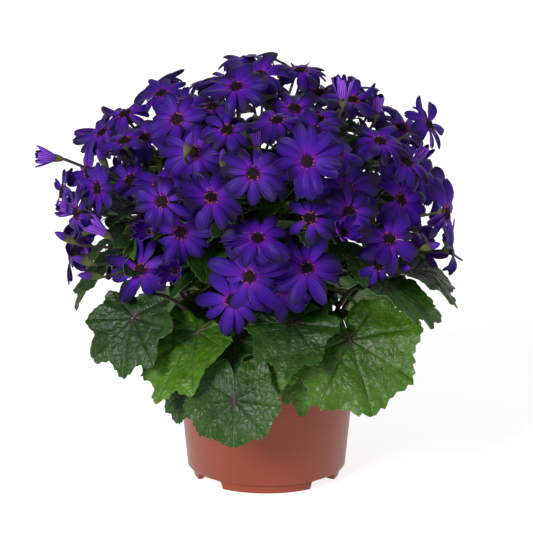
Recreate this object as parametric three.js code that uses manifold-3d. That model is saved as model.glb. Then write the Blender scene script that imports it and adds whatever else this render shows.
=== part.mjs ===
// A potted cineraria: a dome of violet daisy heads over lobed leaves, in a low round plastic pot.
// Millimetres, Z up. The origin is the middle of the surface that the pot's feet stand on, and the
// side of the plant that faces the viewer is -Y, with +X to the viewer's right.
import * as THREE from "three";
import { mergeVertices } from "three/addons/utils/BufferGeometryUtils.js";
import Module from "manifold-3d";

const wasm = await Module();
wasm.setup();

// Pot
const POT_HEIGHT = 112;
const POT_SIDES = 28;
const RIM_RADIUS = 76.5;
const RIM_LIP_HEIGHT = 6;
const WALL_TOP_RADIUS = 74.3;
const WALL_BOTTOM_RADIUS = 65;
const WALL_THICKNESS = 1.4;
const FOOT_RADIUS = 60;
const FOOT_WIDTH = 3.5;
const FOOT_HEIGHT = 7.5;
const FOOT_FLARE = 0.8;
const SHELF_RISE = 0.6; // how far the shelf under the wall and under the rim's lip slopes up outwards
const BASE_UNDERSIDE = 1.5;
const FLOOR_TOP = 3;
const NOTCH_MIDDLES = [51.5, 128.5, 231.5, 308.5]; // degrees round from the front
const NOTCH_WIDTH = 30; // degrees
const NOTCH_HEIGHT = 6.3;
const NOTCH_INNER_RADIUS = 51;
const ARCH_WALL = 1.5; // wall of the arch that closes the pot over each notch
const ARCH_OVERLAP = 4; // degrees that the arch is wider than its notch
const DRAIN_COUNT = 6;
const DRAIN_RADIUS = 4;
const DRAIN_RING = 34;
const DRAIN_SIDES = 8;

// Soil
const SOIL_TOP = 100;
const SOIL_EDGE = 98.5;
const CLEARANCE = 0.3;
const STEM_DEPTH = 9;
const SOIL_WALL_GAP = 0.8;
const SOIL_BEVEL = 3.7;
const SOIL_SHOULDER_RADIUS = 48.8;
const SOIL_SHOULDER_HEIGHT = 9.7;
const HOLE_MARGIN = 0.5;

// Dome that the flower heads sit on
const DOME_CENTRE = new THREE.Vector3(-7, 0, 212);
const DOME_RADII = new THREE.Vector3(158, 150, 120);
const DOME_FLOOR = 176;
const LATTICE_POINTS = 150;
const LATTICE_GAP = 37;
const LATTICE_FRONT = -85;

// The picture's view, which places the heads and leaves that it shows
const VIEW_DISTANCE = 1800;
const VIEW_HEIGHT = 580;
const VIEW_AIM_HEIGHT = 173.5;
const VIEW_FOCAL_PIXELS = 2271.6;
const VIEW_MIDDLE_PIXEL = 266.5;

// Flower heads
const DISC_RADIUS = 5.2;
const HALF_OPEN_DISC_RADIUS = 3;
const DISC_RISE = 2.2;
const PETAL_THICKNESS = 1.2;
const PETAL_CROWDING = 4.1; // the petals' widths summed, in head radii
const PETAL_WIDEST = 0.62; // share of the petal's length
const PETAL_TIP = 0.6; // width of the tip as a share of the widest place
const HALF_OPEN_WIDTH = 7;
const CALYX_LENGTH = 8;
const CALYX_RADIUS = 1.7;
const PEDICEL_RADIUS = 1.1;
const MANY_PETALS = 7;
const FEW_PETALS = 6;
const LARGE_HEAD = 48;
const HALF_OPEN_PETALS = 5;
const BUD_SIDES = 5;
const BUD_OPENNESS = 0.3; // a head this far open or less is a closed bud
const BUD_OUTLINE = [
  [2.2, 0.78],
  [3.6, 0.45],
  [3.4, 0.15],
]; // radius, and place as a share of the bud's length
const SETTLE_PASSES = 100;
const SETTLE_OUT = 0.22; // share of a pair's overlap by which the outer head moves in one pass
const SETTLE_IN = 0.28; // the same for the inner head
const SETTLE_LEAN = 3; // how much the push leans towards the viewer, so that heads keep their place in view
const SETTLE_SAMPLES = 24;
const OPEN_HEAD_ROOM = 3.4;
const BUD_ROOM = 7;

// Stems and leaves
const STEM_RADIUS = 2.8;
const STEM_TIP_RADIUS = 1.9;
const STEM_SIDES = 4;
const STEM_SINK = 2.5; // how far the top head's stalk starts inside the stem
const STEM_STEPS = [0, 0.3, 0.62, 1];
const BRANCH_TOP = 0.97; // branches leave the stem between these shares of its length
const BRANCH_SPAN = 0.45;
const PETIOLE_RADIUS = 1.9;
const PETIOLE_TAPER = 0.75;
const PETIOLE_SIDES = 4;
const PETIOLE_STEPS = [0, 0.35, 0.7, 1];
const PETIOLE_LIFT = 28; // the least height at which a leaf's stalk starts to lean over
const BLADE_THICKNESS = 0.8;
const SMALL_LEAF_PLACE = 0.52; // share of the stem's length
const SMALL_LEAF_LENGTH = 54;
const SMALL_LEAF_CUP = 14; // degrees
const DRAW_SEED = 41;
const FUSE_TOLERANCE = 0.08; // crumbs of surface under this size are smoothed away after a join

// Open heads that the picture shows: column, row, diameter in mm, turn to the right and tilt up in
// degrees, and the stem that bears the head where that isn't the nearest one
const SEEN_HEADS = [
  [135, 269, 56, -15, 12],
  [248, 271, 62, 0, 14],
  [283, 285, 54, 5, 8],
  [231, 302, 54, -8, 4],
  [308, 266, 60, 6, 32],
  [258, 234, 58, 0, 52],
  [253, 176, 50, -2, 16, 8],
  [307, 170, 56, 4, 16],
  [347, 177, 56, 8, 26],
  [180, 218, 56, -10, 14],
  [158, 174, 60, -18, 60, 7],
  [133, 204, 48, -40, 28],
  [147, 131, 58, -25, 62],
  [198, 151, 54, -10, 24],
  [207, 119, 56, -14, 62],
  [235, 100, 56, -6, 58, 14],
  [260, 82, 56, 0, 62],
  [294, 108, 52, 6, 56],
  [276, 128, 50, 0, 66],
  [323, 83, 52, 10, 66],
  [378, 137, 52, 20, 60],
  [400, 123, 56, 32, 52],
  [336, 142, 54, 12, 70],
  [388, 238, 54, 18, 30],
  [380, 262, 38, 14, 8],
  [405, 195, 54, 45, 20],
  [429, 172, 54, 50, 40],
  [441, 214, 56, 62, 5],
  [97, 135, 51, -60, 50],
  [76, 172, 54, -62, 0],
  [100, 190, 46, -50, 10],
  [212, 196, 56, 10, 40],
  [178, 130, 48, -15, 30],
  [163, 203, 46, -10, 20, 7],
  [272, 160, 50, 0, 40],
  [352, 104, 50, 20, 65],
  [357, 88, 46, 35, 50, 15],
  [350, 213, 50, 10, 20, 8],
  [425, 128, 50, 60, 30],
  [184, 100, 48, -30, 60],
  [300, 72, 50, 0, 76],
  [345, 78, 46, 15, 72],
  [225, 80, 50, -6, 72],
  [162, 96, 48, -25, 66],
  [126, 114, 46, -45, 60],
  [376, 99, 46, 35, 60],
  [228, 140, 46, -5, 50],
  [314, 130, 46, 5, 60],
  [120, 166, 46, -35, 44],
  [62, 190, 44, -75, 10],
  [84, 214, 44, -60, 0],
  [405, 155, 46, 40, 50, 2],
  [452, 186, 46, 76, 20],
  [308, 212, 44, 4, 36],
  [212, 109, 40, -10, 64],
  [126, 145, 40, -30, 64],
  [319, 122, 44, 8, 60, 15],
];

// Half-open heads and closed buds that the picture shows: column, row, length in mm, turn, tilt,
// openness from 0 to 1, and the stem that bears the bud where that isn't the nearest one
const SEEN_BUDS = [
  [68, 160, 18, -80, 10, 0.6],
  [102, 233, 22, -60, 40, 0.5],
  [146, 231, 18, -20, 20, 0.8],
  [172, 272, 22, -10, 10, 0.8],
  [344, 231, 22, 12, 20, 0.8, 8],
  [75, 210, 20, -70, 10, 0.4],
  [70, 240, 14, -75, 30, 0],
  [97, 276, 16, -60, 10, 0.2],
  [306, 299, 16, 0, 40, 0.3],
  [403, 268, 16, 30, 10, 0.3],
  [209, 197, 20, -10, 60, 0.4, 1],
  [187, 154, 16, 30, 60, 0.2],
  [222, 168, 14, 0, 60, 0],
  [257, 140, 18, 0, 80, 0.4, 8],
  [298, 192, 13, 0, 70, 0],
  [114, 142, 18, -50, 60, 0.3],
  [175, 121, 14, -10, 70, 0.1],
  [103, 152, 14, -50, 60, 0],
  [342, 108, 20, 0, 80, 0.6, 15],
  [376, 110, 16, 20, 70, 0.4],
  [427, 147, 18, 60, 50, 0.4, 10],
  [88, 262, 12, -80, 20, 0],
  [430, 247, 12, 60, 20, 0],
];

// Flowering stems, in rings from low to high: how many, turn of the first, tilt on the dome, radius in the
// soil, share of the way to the dome, and the pitch and droop of the small leaf where there is one
const STEM_RINGS = [
  { count: 7, turn: 0, tilt: 4, root: 33, reach: 0.58, leaf: [12, -10] },
  { count: 7, turn: 25.7, tilt: 42, root: 20, reach: 0.6, leaf: [50, 90] },
  { count: 3, turn: 60, tilt: 76, root: 8, reach: 0.62 },
];

// Leaves that the picture shows: name, column, row and depth Y of the stalk's end, heading, pitch and roll of
// the midrib, blade length with the shares of its width and basal lobes, how far it droops along and cups
// across in degrees, and the turn and radius at which the stalk stands in the soil
const SEEN_LEAVES = [
  ["leaf_left_front", [133, 318, -96], [-22, -52, 0], [48, 0.86, 0.8], [26, 18], [-52, 54]],
  ["leaf_light_left", [198, 332, -92], [-46, -34, -6], [64, 0.7, 0.36], [34, 14], [-38, 54]],
  ["leaf_small_left", [186, 386, -90], [-40, -62, 0], [30, 0.8, 0.6], [20, 10], [-40, 60]],
  ["leaf_blue_front", [234, 338, -86], [-40, -42, 0], [42, 0.72, 0.36], [20, 12], [-10, 48]],
  ["leaf_round_front", [234, 400, -123], [-4, -66, 0], [36, 1.15, 1.5], [10, 14], [-8, 60]],
  ["leaf_light_front", [274, 352, -98], [4, -48, 0], [34, 0.8, 0.6], [20, 12], [2, 50]],
  ["leaf_dark_front", [292, 322, -104], [-8, -34, 0], [48, 0.86, 0.7], [26, 12], [12, 42]],
  ["leaf_hanging_front", [299, 355, -88], [12, -80, 20], [48, 0.5, 0.4], [8, -30], [14, 60]],
  ["leaf_right_front", [350, 339, -98], [22, -46, 20], [62, 0.98, 0.8], [26, 14], [34, 54]],
  ["leaf_right", [384, 286, -70], [68, -14, 0], [50, 0.8, 0.6], [44, 10], [78, 52]],
  ["leaf_right_high", [412, 270, -30], [84, -14, 0], [50, 0.9, 0.6], [50, 10], [84, 52]],
  ["leaf_left_high", [103, 266, -34], [-80, -40, 0], [42, 0.8, 0.6], [30, 10], [-80, 54]],
];

// Leaves round the sides and back, where the picture doesn't reach: turn, distance, height, length
const FAR_LEAVES = [
  [112, 112, 150, 56],
  [136, 102, 134, 50],
  [158, 112, 152, 60],
  [180, 100, 132, 50],
  [202, 112, 150, 58],
  [224, 102, 134, 52],
  [248, 112, 152, 56],
  [-94, 100, 126, 44],
  [100, 98, 128, 42],
  [72, 86, 120, 40],
  [-70, 84, 122, 38],
];

// Half of a lobed blade's outline: angle from the midrib in degrees and reach as a share of the length
const BLADE_OUTLINE = [
  [10, 0.93],
  [21, 0.83],
  [38, 0.98],
  [50, 0.88],
  [61, 0.76],
  [80, 0.92],
  [96, 0.78],
  [108, 0.66],
  [127, 0.78],
  [147, 0.64],
  [165, 0.42],
];
const BLADE_RIBS = [40, 82, 128];
const SMALL_BLADE_OUTLINE = [
  [14, 0.82],
  [30, 0.7],
  [44, 0.34],
  [24, 0.12],
];
const SMALL_BLADE_RIBS = [];

const RADIANS = Math.PI / 180;

// A seeded draw of numbers from 0 to 1
function makeDraw(seed) {
  let state = seed;
  return () => {
    state = (state * 1664525 + 1013904223) % 4294967296;
    return state / 4294967296;
  };
}

// A direction from its turn (0 is the front, + is to the right) and its tilt up, in degrees
function direction(turn, tilt) {
  const flat = Math.cos(tilt * RADIANS);
  const x = flat * Math.sin(turn * RADIANS);
  const y = -flat * Math.cos(turn * RADIANS);
  return new THREE.Vector3(x, y, Math.sin(tilt * RADIANS));
}

// The point at a depth Y that the picture shows at a column and row
function pointInView(column, row, depth) {
  const pitch = Math.atan2(VIEW_HEIGHT - VIEW_AIM_HEIGHT, VIEW_DISTANCE);
  const right = (column - VIEW_MIDDLE_PIXEL) / VIEW_FOCAL_PIXELS;
  const up = (VIEW_MIDDLE_PIXEL - row) / VIEW_FOCAL_PIXELS;
  const forward = Math.cos(pitch) + up * Math.sin(pitch);
  const ray = new THREE.Vector3(right, forward, up * Math.cos(pitch) - Math.sin(pitch));
  const steps = (depth + VIEW_DISTANCE) / ray.y;
  return new THREE.Vector3(0, -VIEW_DISTANCE, VIEW_HEIGHT).addScaledVector(ray, steps);
}

// The point of the dome's near side that the picture shows at a column and row
function pointOnDome(column, row) {
  let point = pointInView(column, row, DOME_CENTRE.y - DOME_RADII.y * 2 / 3);
  for (let step = 0; step < 5; step++) {
    const across = (point.x - DOME_CENTRE.x) / DOME_RADII.x;
    const above = (point.z - DOME_CENTRE.z) / DOME_RADII.z;
    const depth = -DOME_RADII.y * Math.sqrt(Math.max(0, 1 - across * across - above * above));
    point = pointInView(column, row, depth);
  }
  return point;
}

// Corner points and triangles of one closed surface
class Skin {
  constructor() {
    this.points = [];
    this.faces = [];
  }

  point(position) {
    this.points.push(position);
    return this.points.length - 1;
  }

  ring(positions) {
    return positions.map((position) => this.point(position));
  }

  face(a, b, c) {
    this.faces.push([a, b, c]);
  }

  // Joins two rings that may differ in count, with the second one further along the way from the first
  joinRings(first, second) {
    let i = 0;
    let k = 0;
    while (i < first.length || k < second.length) {
      const a = first[i % first.length];
      const b = second[k % second.length];
      const nextFirst = (i + 1) / first.length;
      const nextSecond = (k + 1) / second.length;
      if (k >= second.length || (i < first.length && nextFirst <= nextSecond)) {
        this.face(first[(i + 1) % first.length], a, b);
        i++;
      } else {
        this.face(a, b, second[(k + 1) % second.length]);
        k++;
      }
    }
  }

  closeEnd(ring) {
    for (let k = 1; k < ring.length - 1; k++) {
      this.face(ring[0], ring[k + 1], ring[k]);
    }
  }

  closeStart(ring) {
    for (let k = 1; k < ring.length - 1; k++) {
      this.face(ring[0], ring[k], ring[k + 1]);
    }
  }

  solid() {
    const mesh = new wasm.Mesh({
      numProp: 3,
      vertProperties: new Float32Array(this.points.flatMap((p) => [p.x, p.y, p.z])),
      triVerts: new Uint32Array(this.faces.flat()),
    });
    return new wasm.Manifold(mesh);
  }
}

// A three.js geometry as a solid
function solidOf(geometry) {
  const bare = geometry.clone();
  bare.deleteAttribute("normal");
  bare.deleteAttribute("uv");
  const merged = mergeVertices(bare, 1e-3);
  const mesh = new wasm.Mesh({
    numProp: 3,
    vertProperties: new Float32Array(merged.attributes.position.array),
    triVerts: new Uint32Array(merged.index.array),
  });
  return new wasm.Manifold(mesh);
}

// A solid as a three.js geometry, moved so that the given point is its origin
function geometryOf(solid, origin) {
  const mesh = solid.getMesh();
  const geometry = new THREE.BufferGeometry();
  geometry.setAttribute("position", new THREE.BufferAttribute(mesh.vertProperties, 3));
  geometry.setIndex(new THREE.BufferAttribute(mesh.triVerts, 1));
  geometry.translate(-origin.x, -origin.y, -origin.z);
  geometry.computeVertexNormals();
  return geometry;
}

// Solids joined in one body: only the largest body stays, so no sealed hollow or loose scrap is left
function fuse(solids) {
  const joined = wasm.Manifold.union(solids);
  const bodies = joined.decompose();
  bodies.sort((a, b) => b.volume() - a.volume());
  return bodies[0].simplify(FUSE_TOLERANCE);
}

// The place at a share of a path's length, with the way that the path runs there
function placeOnPath(path, share) {
  const lengths = path.slice(1).map((point, k) => point.distanceTo(path[k]));
  let rest = share * lengths.reduce((sum, length) => sum + length, 0);
  let k = 0;
  while (k < lengths.length - 1 && rest > lengths[k]) {
    rest -= lengths[k];
    k++;
  }
  const along = path[k + 1].clone().sub(path[k]).normalize();
  return { point: path[k].clone().addScaledVector(along, Math.min(rest, lengths[k])), along };
}

// Rings of points square to a path, kept from twisting, with the first ring's axes given or found
function ringsAlong(path, radii, sides, firstAxis) {
  const rings = [];
  let along = path[1].clone().sub(path[0]).normalize();
  const helper = Math.abs(along.z) > 0.9 ? new THREE.Vector3(1, 0, 0) : new THREE.Vector3(0, 0, 1);
  let across = (firstAxis ?? helper).clone();
  across.addScaledVector(along, -across.dot(along)).normalize();
  path.forEach((point, index) => {
    const before = path[Math.max(0, index - 1)];
    const after = path[Math.min(path.length - 1, index + 1)];
    const next = after.clone().sub(before).normalize();
    across.applyQuaternion(new THREE.Quaternion().setFromUnitVectors(along, next));
    along = next;
    const other = new THREE.Vector3().crossVectors(across, along);
    const ring = [];
    for (let side = 0; side < sides; side++) {
      const angle = (2 * Math.PI * side) / sides;
      const place = point.clone();
      place.addScaledVector(across, radii[index] * Math.cos(angle));
      place.addScaledVector(other, radii[index] * Math.sin(angle));
      ring.push(place);
    }
    rings.push(ring);
  });
  return rings;
}

// A closed stalk along a path
function stalk(path, startRadius, endRadius, sides) {
  const radii = path.map((_, k) => startRadius + ((endRadius - startRadius) * k) / (path.length - 1));
  const skin = new Skin();
  const rings = ringsAlong(path, radii, sides).map((ring) => skin.ring(ring));
  skin.closeStart(rings[0]);
  for (let k = 1; k < rings.length; k++) {
    skin.joinRings(rings[k - 1], rings[k]);
  }
  skin.closeEnd(rings[rings.length - 1]);
  return skin.solid();
}

// The solid of a lathed outline
function lathed(outline, sides) {
  const points = outline.map(([radius, height]) => new THREE.Vector2(radius, height));
  return solidOf(new THREE.LatheGeometry(points, sides).rotateX(Math.PI / 2));
}

// A block over part of a ring, between two radii and two heights, with its middle at a turn from the front
function ringBlock(inner, outer, bottom, top, turn, width) {
  const start = (turn - width / 2 - 90) * RADIANS;
  const end = (turn + width / 2 - 90) * RADIANS;
  const shape = new THREE.Shape();
  shape.absarc(0, 0, outer, start, end, false);
  shape.absarc(0, 0, inner, end, start, true);
  shape.closePath();
  const settings = { depth: top - bottom, bevelEnabled: false, curveSegments: 2 };
  return solidOf(new THREE.ExtrudeGeometry(shape, settings).translate(0, 0, bottom));
}

// The pot: one thin moulded shell with a rolled rim, a foot ring cut into four feet, and drainage holes
function potSolid() {
  const lipBottom = POT_HEIGHT - RIM_LIP_HEIGHT;
  const innerTop = WALL_TOP_RADIUS - WALL_THICKNESS;
  const outline = [
    [0, BASE_UNDERSIDE],
    [FOOT_RADIUS - FOOT_WIDTH, BASE_UNDERSIDE],
    [FOOT_RADIUS - FOOT_WIDTH, 0],
    [FOOT_RADIUS, 0],
    [FOOT_RADIUS + FOOT_FLARE, FOOT_HEIGHT],
    [WALL_BOTTOM_RADIUS, FOOT_HEIGHT + SHELF_RISE],
    [WALL_TOP_RADIUS, lipBottom],
    [RIM_RADIUS, lipBottom + SHELF_RISE],
    [RIM_RADIUS, POT_HEIGHT],
    [innerTop + SHELF_RISE, POT_HEIGHT],
    [innerTop, lipBottom],
    [WALL_BOTTOM_RADIUS - WALL_THICKNESS, FOOT_HEIGHT + SHELF_RISE + WALL_THICKNESS],
    [FOOT_RADIUS - WALL_THICKNESS, FOOT_HEIGHT + WALL_THICKNESS],
    [FOOT_RADIUS - WALL_THICKNESS - 1, FLOOR_TOP],
    [0, FLOOR_TOP],
  ];
  let pot = lathed(outline, POT_SIDES);
  for (const turn of NOTCH_MIDDLES) {
    const inner = NOTCH_INNER_RADIUS - ARCH_WALL;
    const bottom = (BASE_UNDERSIDE + FLOOR_TOP) / 2;
    const top = NOTCH_HEIGHT + 2;
    pot = pot.add(ringBlock(inner, FOOT_RADIUS - 1, bottom, top, turn, NOTCH_WIDTH + ARCH_OVERLAP));
  }
  for (const turn of NOTCH_MIDDLES) {
    pot = pot.subtract(ringBlock(NOTCH_INNER_RADIUS, FOOT_RADIUS + 6, -1, NOTCH_HEIGHT, turn, NOTCH_WIDTH));
  }
  for (let k = 0; k < DRAIN_COUNT; k++) {
    const place = direction((360 * k) / DRAIN_COUNT, 0).multiplyScalar(DRAIN_RING);
    const drill = new THREE.CylinderGeometry(DRAIN_RADIUS, DRAIN_RADIUS, 8, DRAIN_SIDES);
    pot = pot.subtract(solidOf(drill.rotateX(Math.PI / 2).translate(place.x, place.y, FLOOR_TOP - 1)));
  }
  return pot;
}

// Potting soil that fills the pot, with a plain hole for each stalk
function soilSolid(holes) {
  const edgeRadius = WALL_TOP_RADIUS - WALL_THICKNESS - 1.3;
  const outline = [
    [0, FLOOR_TOP + CLEARANCE],
    [SOIL_SHOULDER_RADIUS, FLOOR_TOP + CLEARANCE],
    [SOIL_SHOULDER_RADIUS, SOIL_SHOULDER_HEIGHT],
    [WALL_BOTTOM_RADIUS - WALL_THICKNESS - SOIL_WALL_GAP, SOIL_SHOULDER_HEIGHT + 0.2],
    [edgeRadius, SOIL_EDGE],
    [edgeRadius - SOIL_BEVEL, SOIL_TOP],
    [0, SOIL_TOP],
  ];
  const drills = holes.map(({ place, radius, sides }) => {
    const path = [
      new THREE.Vector3(place.x, place.y, place.z - CLEARANCE),
      new THREE.Vector3(place.x, place.y, SOIL_TOP + 4),
    ];
    return stalk(path, radius + HOLE_MARGIN, radius + HOLE_MARGIN, sides);
  });
  return lathed(outline, POT_SIDES).subtract(wasm.Manifold.union(drills));
}

// Pushes flower heads apart until their petals pass clear of each other
function settle(heads) {
  for (let pass = 0; pass < SETTLE_PASSES; pass++) {
    for (let i = 0; i < heads.length; i++) {
      for (let j = i + 1; j < heads.length; j++) {
        settlePair(heads[i], heads[j]);
      }
    }
  }
}

function settlePair(a, b) {
  const apart = b.centre.clone().sub(a.centre);
  if (apart.length() > a.radius + b.radius) {
    return;
  }
  const depth = Math.max(nearness(a, b), nearness(b, a));
  if (depth <= 0) {
    return;
  }
  const outward = a.normal.clone().add(b.normal).normalize();
  const sight = new THREE.Vector3(0, -VIEW_DISTANCE, VIEW_HEIGHT).sub(a.centre).normalize();
  const lean = SETTLE_LEAN * Math.max(0, outward.dot(sight));
  const way = outward.clone().addScaledVector(sight, lean).normalize();
  const [outer, inner] = apart.dot(outward) >= 0 ? [b, a] : [a, b];
  outer.centre.addScaledVector(way, depth * SETTLE_OUT);
  inner.centre.addScaledVector(way, -depth * SETTLE_IN);
}

// How much nearer the rim of one head comes to the plane of another than it should
function nearness(a, b) {
  const room = a.room + b.room;
  let worst = 0;
  for (let k = 0; k < SETTLE_SAMPLES; k++) {
    const reach = k % 2 === 0 ? a.radius : a.radius * 0.6;
    const angle = (2 * Math.PI * k) / SETTLE_SAMPLES;
    const point = a.centre.clone();
    point.addScaledVector(a.across, reach * Math.cos(angle));
    point.addScaledVector(a.upward, reach * Math.sin(angle));
    const offset = point.sub(b.centre);
    const height = offset.dot(b.normal);
    const away = Math.sqrt(Math.max(0, offset.lengthSq() - height * height));
    if (away < b.radius + 1 && Math.abs(height) < room) {
      worst = Math.max(worst, room - Math.abs(height));
    }
  }
  return worst;
}

// One flower head's place, size and axes. Openness 1 is a flat open head, and less is a half-open head or bud
function makeHead(centre, normal, size, openness, petals) {
  const across = new THREE.Vector3(0, 0, 1).cross(normal);
  if (across.lengthSq() < 1e-6) {
    across.set(1, 0, 0);
  }
  across.normalize();
  const upward = normal.clone().cross(across);
  const open = openness >= 1;
  const radius = open ? size / 2 : 6 + 8 * openness;
  const room = open ? OPEN_HEAD_ROOM : BUD_ROOM;
  return { centre, normal, across, upward, size, openness, petals, radius, room };
}

// All flower heads: those seen in the picture, then more over the rest of the dome on a spiral lattice
function makeHeads() {
  const heads = [];
  for (const [column, row, size, turn, tilt, stem] of SEEN_HEADS) {
    const petals = size >= LARGE_HEAD ? MANY_PETALS : FEW_PETALS;
    const head = makeHead(pointOnDome(column, row), direction(turn, tilt), size, 1, petals);
    heads.push({ ...head, stem });
  }
  for (const [column, row, size, turn, tilt, openness, stem] of SEEN_BUDS) {
    const head = makeHead(pointOnDome(column, row), direction(turn, tilt), size, openness, HALF_OPEN_PETALS);
    heads.push({ ...head, stem });
  }
  const draw = makeDraw(DRAW_SEED);
  const turnStep = 180 * (3 - Math.sqrt(5));
  for (let k = 0; k < LATTICE_POINTS; k++) {
    const height = 1 - (2 * (k + 0.5)) / LATTICE_POINTS;
    const tilt = Math.asin(height) / RADIANS;
    const outward = direction(k * turnStep, tilt);
    const centre = outward.clone().multiply(DOME_RADII).add(DOME_CENTRE);
    const size = 50 + 8 * draw();
    const turn = k * turnStep + 24 * (draw() - 0.5);
    const lift = Math.min(80, Math.max(4, tilt + 14 + 24 * (draw() - 0.5)));
    const nearest = Math.min(...heads.map((head) => head.centre.distanceTo(centre)));
    const inFront = centre.y < LATTICE_FRONT;
    if (centre.z < DOME_FLOOR || inFront || nearest < LATTICE_GAP) {
      continue;
    }
    heads.push(makeHead(centre, direction(turn, lift), size, 1, FEW_PETALS));
  }
  settle(heads);
  return heads;
}

// The petals of a head, in one body with its disc. Each is a slim arched wedge: its sides hang lower than its
// middle, and its flat underside runs straight across between them
function addPetals(skin, head, at, draw) {
  const count = head.petals;
  const open = head.openness >= 1;
  const reach = open ? head.size / 2 : head.size;
  const lift = (open ? 10 * draw() - 4 : 88 - 34 * head.openness) * RADIANS;
  const disc = open ? DISC_RADIUS : HALF_OPEN_DISC_RADIUS;
  const width = open ? (reach * PETAL_CROWDING) / count : HALF_OPEN_WIDTH;
  const tip = (width * PETAL_TIP) / 2;
  const start = 2 * Math.PI * draw();
  const upper = [];
  const lower = [];
  for (let k = 0; k < count; k++) {
    const angle = start + (2 * Math.PI * k) / count;
    upper.push(skin.point(at(disc, angle, 0, 0.6)));
    lower.push(skin.point(at(disc * 0.8, angle, 0, -PETAL_THICKNESS)));
  }
  const apex = skin.point(at(0, 0, 0, open ? DISC_RISE : 1));
  for (let k = 0; k < count; k++) {
    const next = (k + 1) % count;
    const angle = start + (2 * Math.PI * (k + 0.5)) / count + 0.1 * (draw() - 0.5);
    const length = reach * (0.94 + 0.1 * draw()) - disc;
    const bend = open ? 3 * (draw() - 0.6) : -2;
    const petal = (share, aside, drop) => {
      const along = disc * 0.9 + length * share * Math.cos(lift);
      const rise = 0.2 + length * share * Math.sin(lift) + bend * share * share - drop;
      return skin.point(at(along, angle, aside, rise));
    };
    const left = petal(PETAL_WIDEST, -width / 2, PETAL_THICKNESS);
    const tipLeft = petal(1, -tip, 0);
    const tipRight = petal(1, tip, 0);
    const right = petal(PETAL_WIDEST, width / 2, PETAL_THICKNESS);
    skin.face(upper[k], left, tipLeft);
    skin.face(upper[k], tipLeft, upper[next]);
    skin.face(upper[next], tipLeft, tipRight);
    skin.face(upper[next], tipRight, right);
    skin.face(lower[k], lower[next], right);
    skin.face(lower[k], right, left);
    skin.face(left, right, tipLeft);
    skin.face(tipLeft, right, tipRight);
    skin.face(upper[k], lower[k], left);
    skin.face(upper[next], right, lower[next]);
    skin.face(apex, upper[k], upper[next]);
  }
  return lower;
}

// A closed bud: a pointed egg, ring by ring from its tip
function addBud(skin, head, at) {
  const length = head.size;
  const apex = skin.point(at(0, 0, 0, length));
  const rings = BUD_OUTLINE.map(([radius, share]) => {
    const ring = [];
    for (let k = 0; k < BUD_SIDES; k++) {
      ring.push(skin.point(at(radius, (2 * Math.PI * k) / BUD_SIDES, 0, length * share)));
    }
    return ring;
  });
  for (let k = 0; k < BUD_SIDES; k++) {
    skin.face(apex, rings[0][k], rings[0][(k + 1) % BUD_SIDES]);
  }
  skin.joinRings(rings[0], rings[1]);
  skin.joinRings(rings[1], rings[2]);
  return rings[2];
}

// One flower head with its calyx and its own stalk, which ends inside the flowering stem
function headSolid(head, foot, draw) {
  const skin = new Skin();
  const at = (out, angle, aside, rise) => {
    const point = head.centre.clone().addScaledVector(head.normal, rise);
    point.addScaledVector(head.across, out * Math.cos(angle) - aside * Math.sin(angle));
    return point.addScaledVector(head.upward, out * Math.sin(angle) + aside * Math.cos(angle));
  };
  const lowest = head.openness > BUD_OPENNESS ? addPetals(skin, head, at, draw) : addBud(skin, head, at);
  const calyx = head.centre.clone().addScaledVector(head.normal, -CALYX_LENGTH);
  const firstAxis = skin.points[lowest[0]].clone().sub(head.centre);
  const rings = ringsAlong([calyx, foot], [CALYX_RADIUS, PEDICEL_RADIUS], 3, firstAxis);
  let last = lowest;
  for (const ring of rings) {
    const next = skin.ring(ring);
    skin.joinRings(last, next);
    last = next;
  }
  skin.closeEnd(last);
  return skin.solid();
}

// The place on a bent blade of a flat point: U along the midrib, V to the side, and its upper side's way
function bladePoint(leaf, frame, u, v) {
  const droop = (leaf.droop * RADIANS) / leaf.length;
  const cup = (leaf.cup * RADIANS) / leaf.length;
  const turned = droop * u;
  const along = Math.abs(droop) < 1e-9 ? u : Math.sin(turned) / droop;
  const fall = Math.abs(droop) < 1e-9 ? 0 : (Math.cos(turned) - 1) / droop;
  const side = Math.abs(cup) < 1e-9 ? v : Math.sin(cup * v) / cup;
  const rise = Math.abs(cup) < 1e-9 ? 0 : (1 - Math.cos(cup * v)) / cup;
  const point = frame.origin.clone();
  point.addScaledVector(frame.along, along + rise * Math.sin(turned));
  point.addScaledVector(frame.side, side);
  point.addScaledVector(frame.normal, fall + rise * Math.cos(turned));
  return point;
}

function bladeNormal(leaf, frame, u, v) {
  const small = 0.5;
  const alongStep = bladePoint(leaf, frame, u + small, v).sub(bladePoint(leaf, frame, u - small, v));
  const sideStep = bladePoint(leaf, frame, u, v + small).sub(bladePoint(leaf, frame, u, v - small));
  return alongStep.cross(sideStep).normalize();
}

// The axes of a blade whose midrib has a heading and a pitch, turned about the midrib by a roll
function bladeFrame(origin, heading, pitch, roll) {
  const along = direction(heading, pitch);
  const normal = direction(heading, pitch + 90).applyAxisAngle(along, roll * RADIANS);
  const side = normal.clone().cross(along);
  return { origin, along, normal, side };
}

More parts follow.
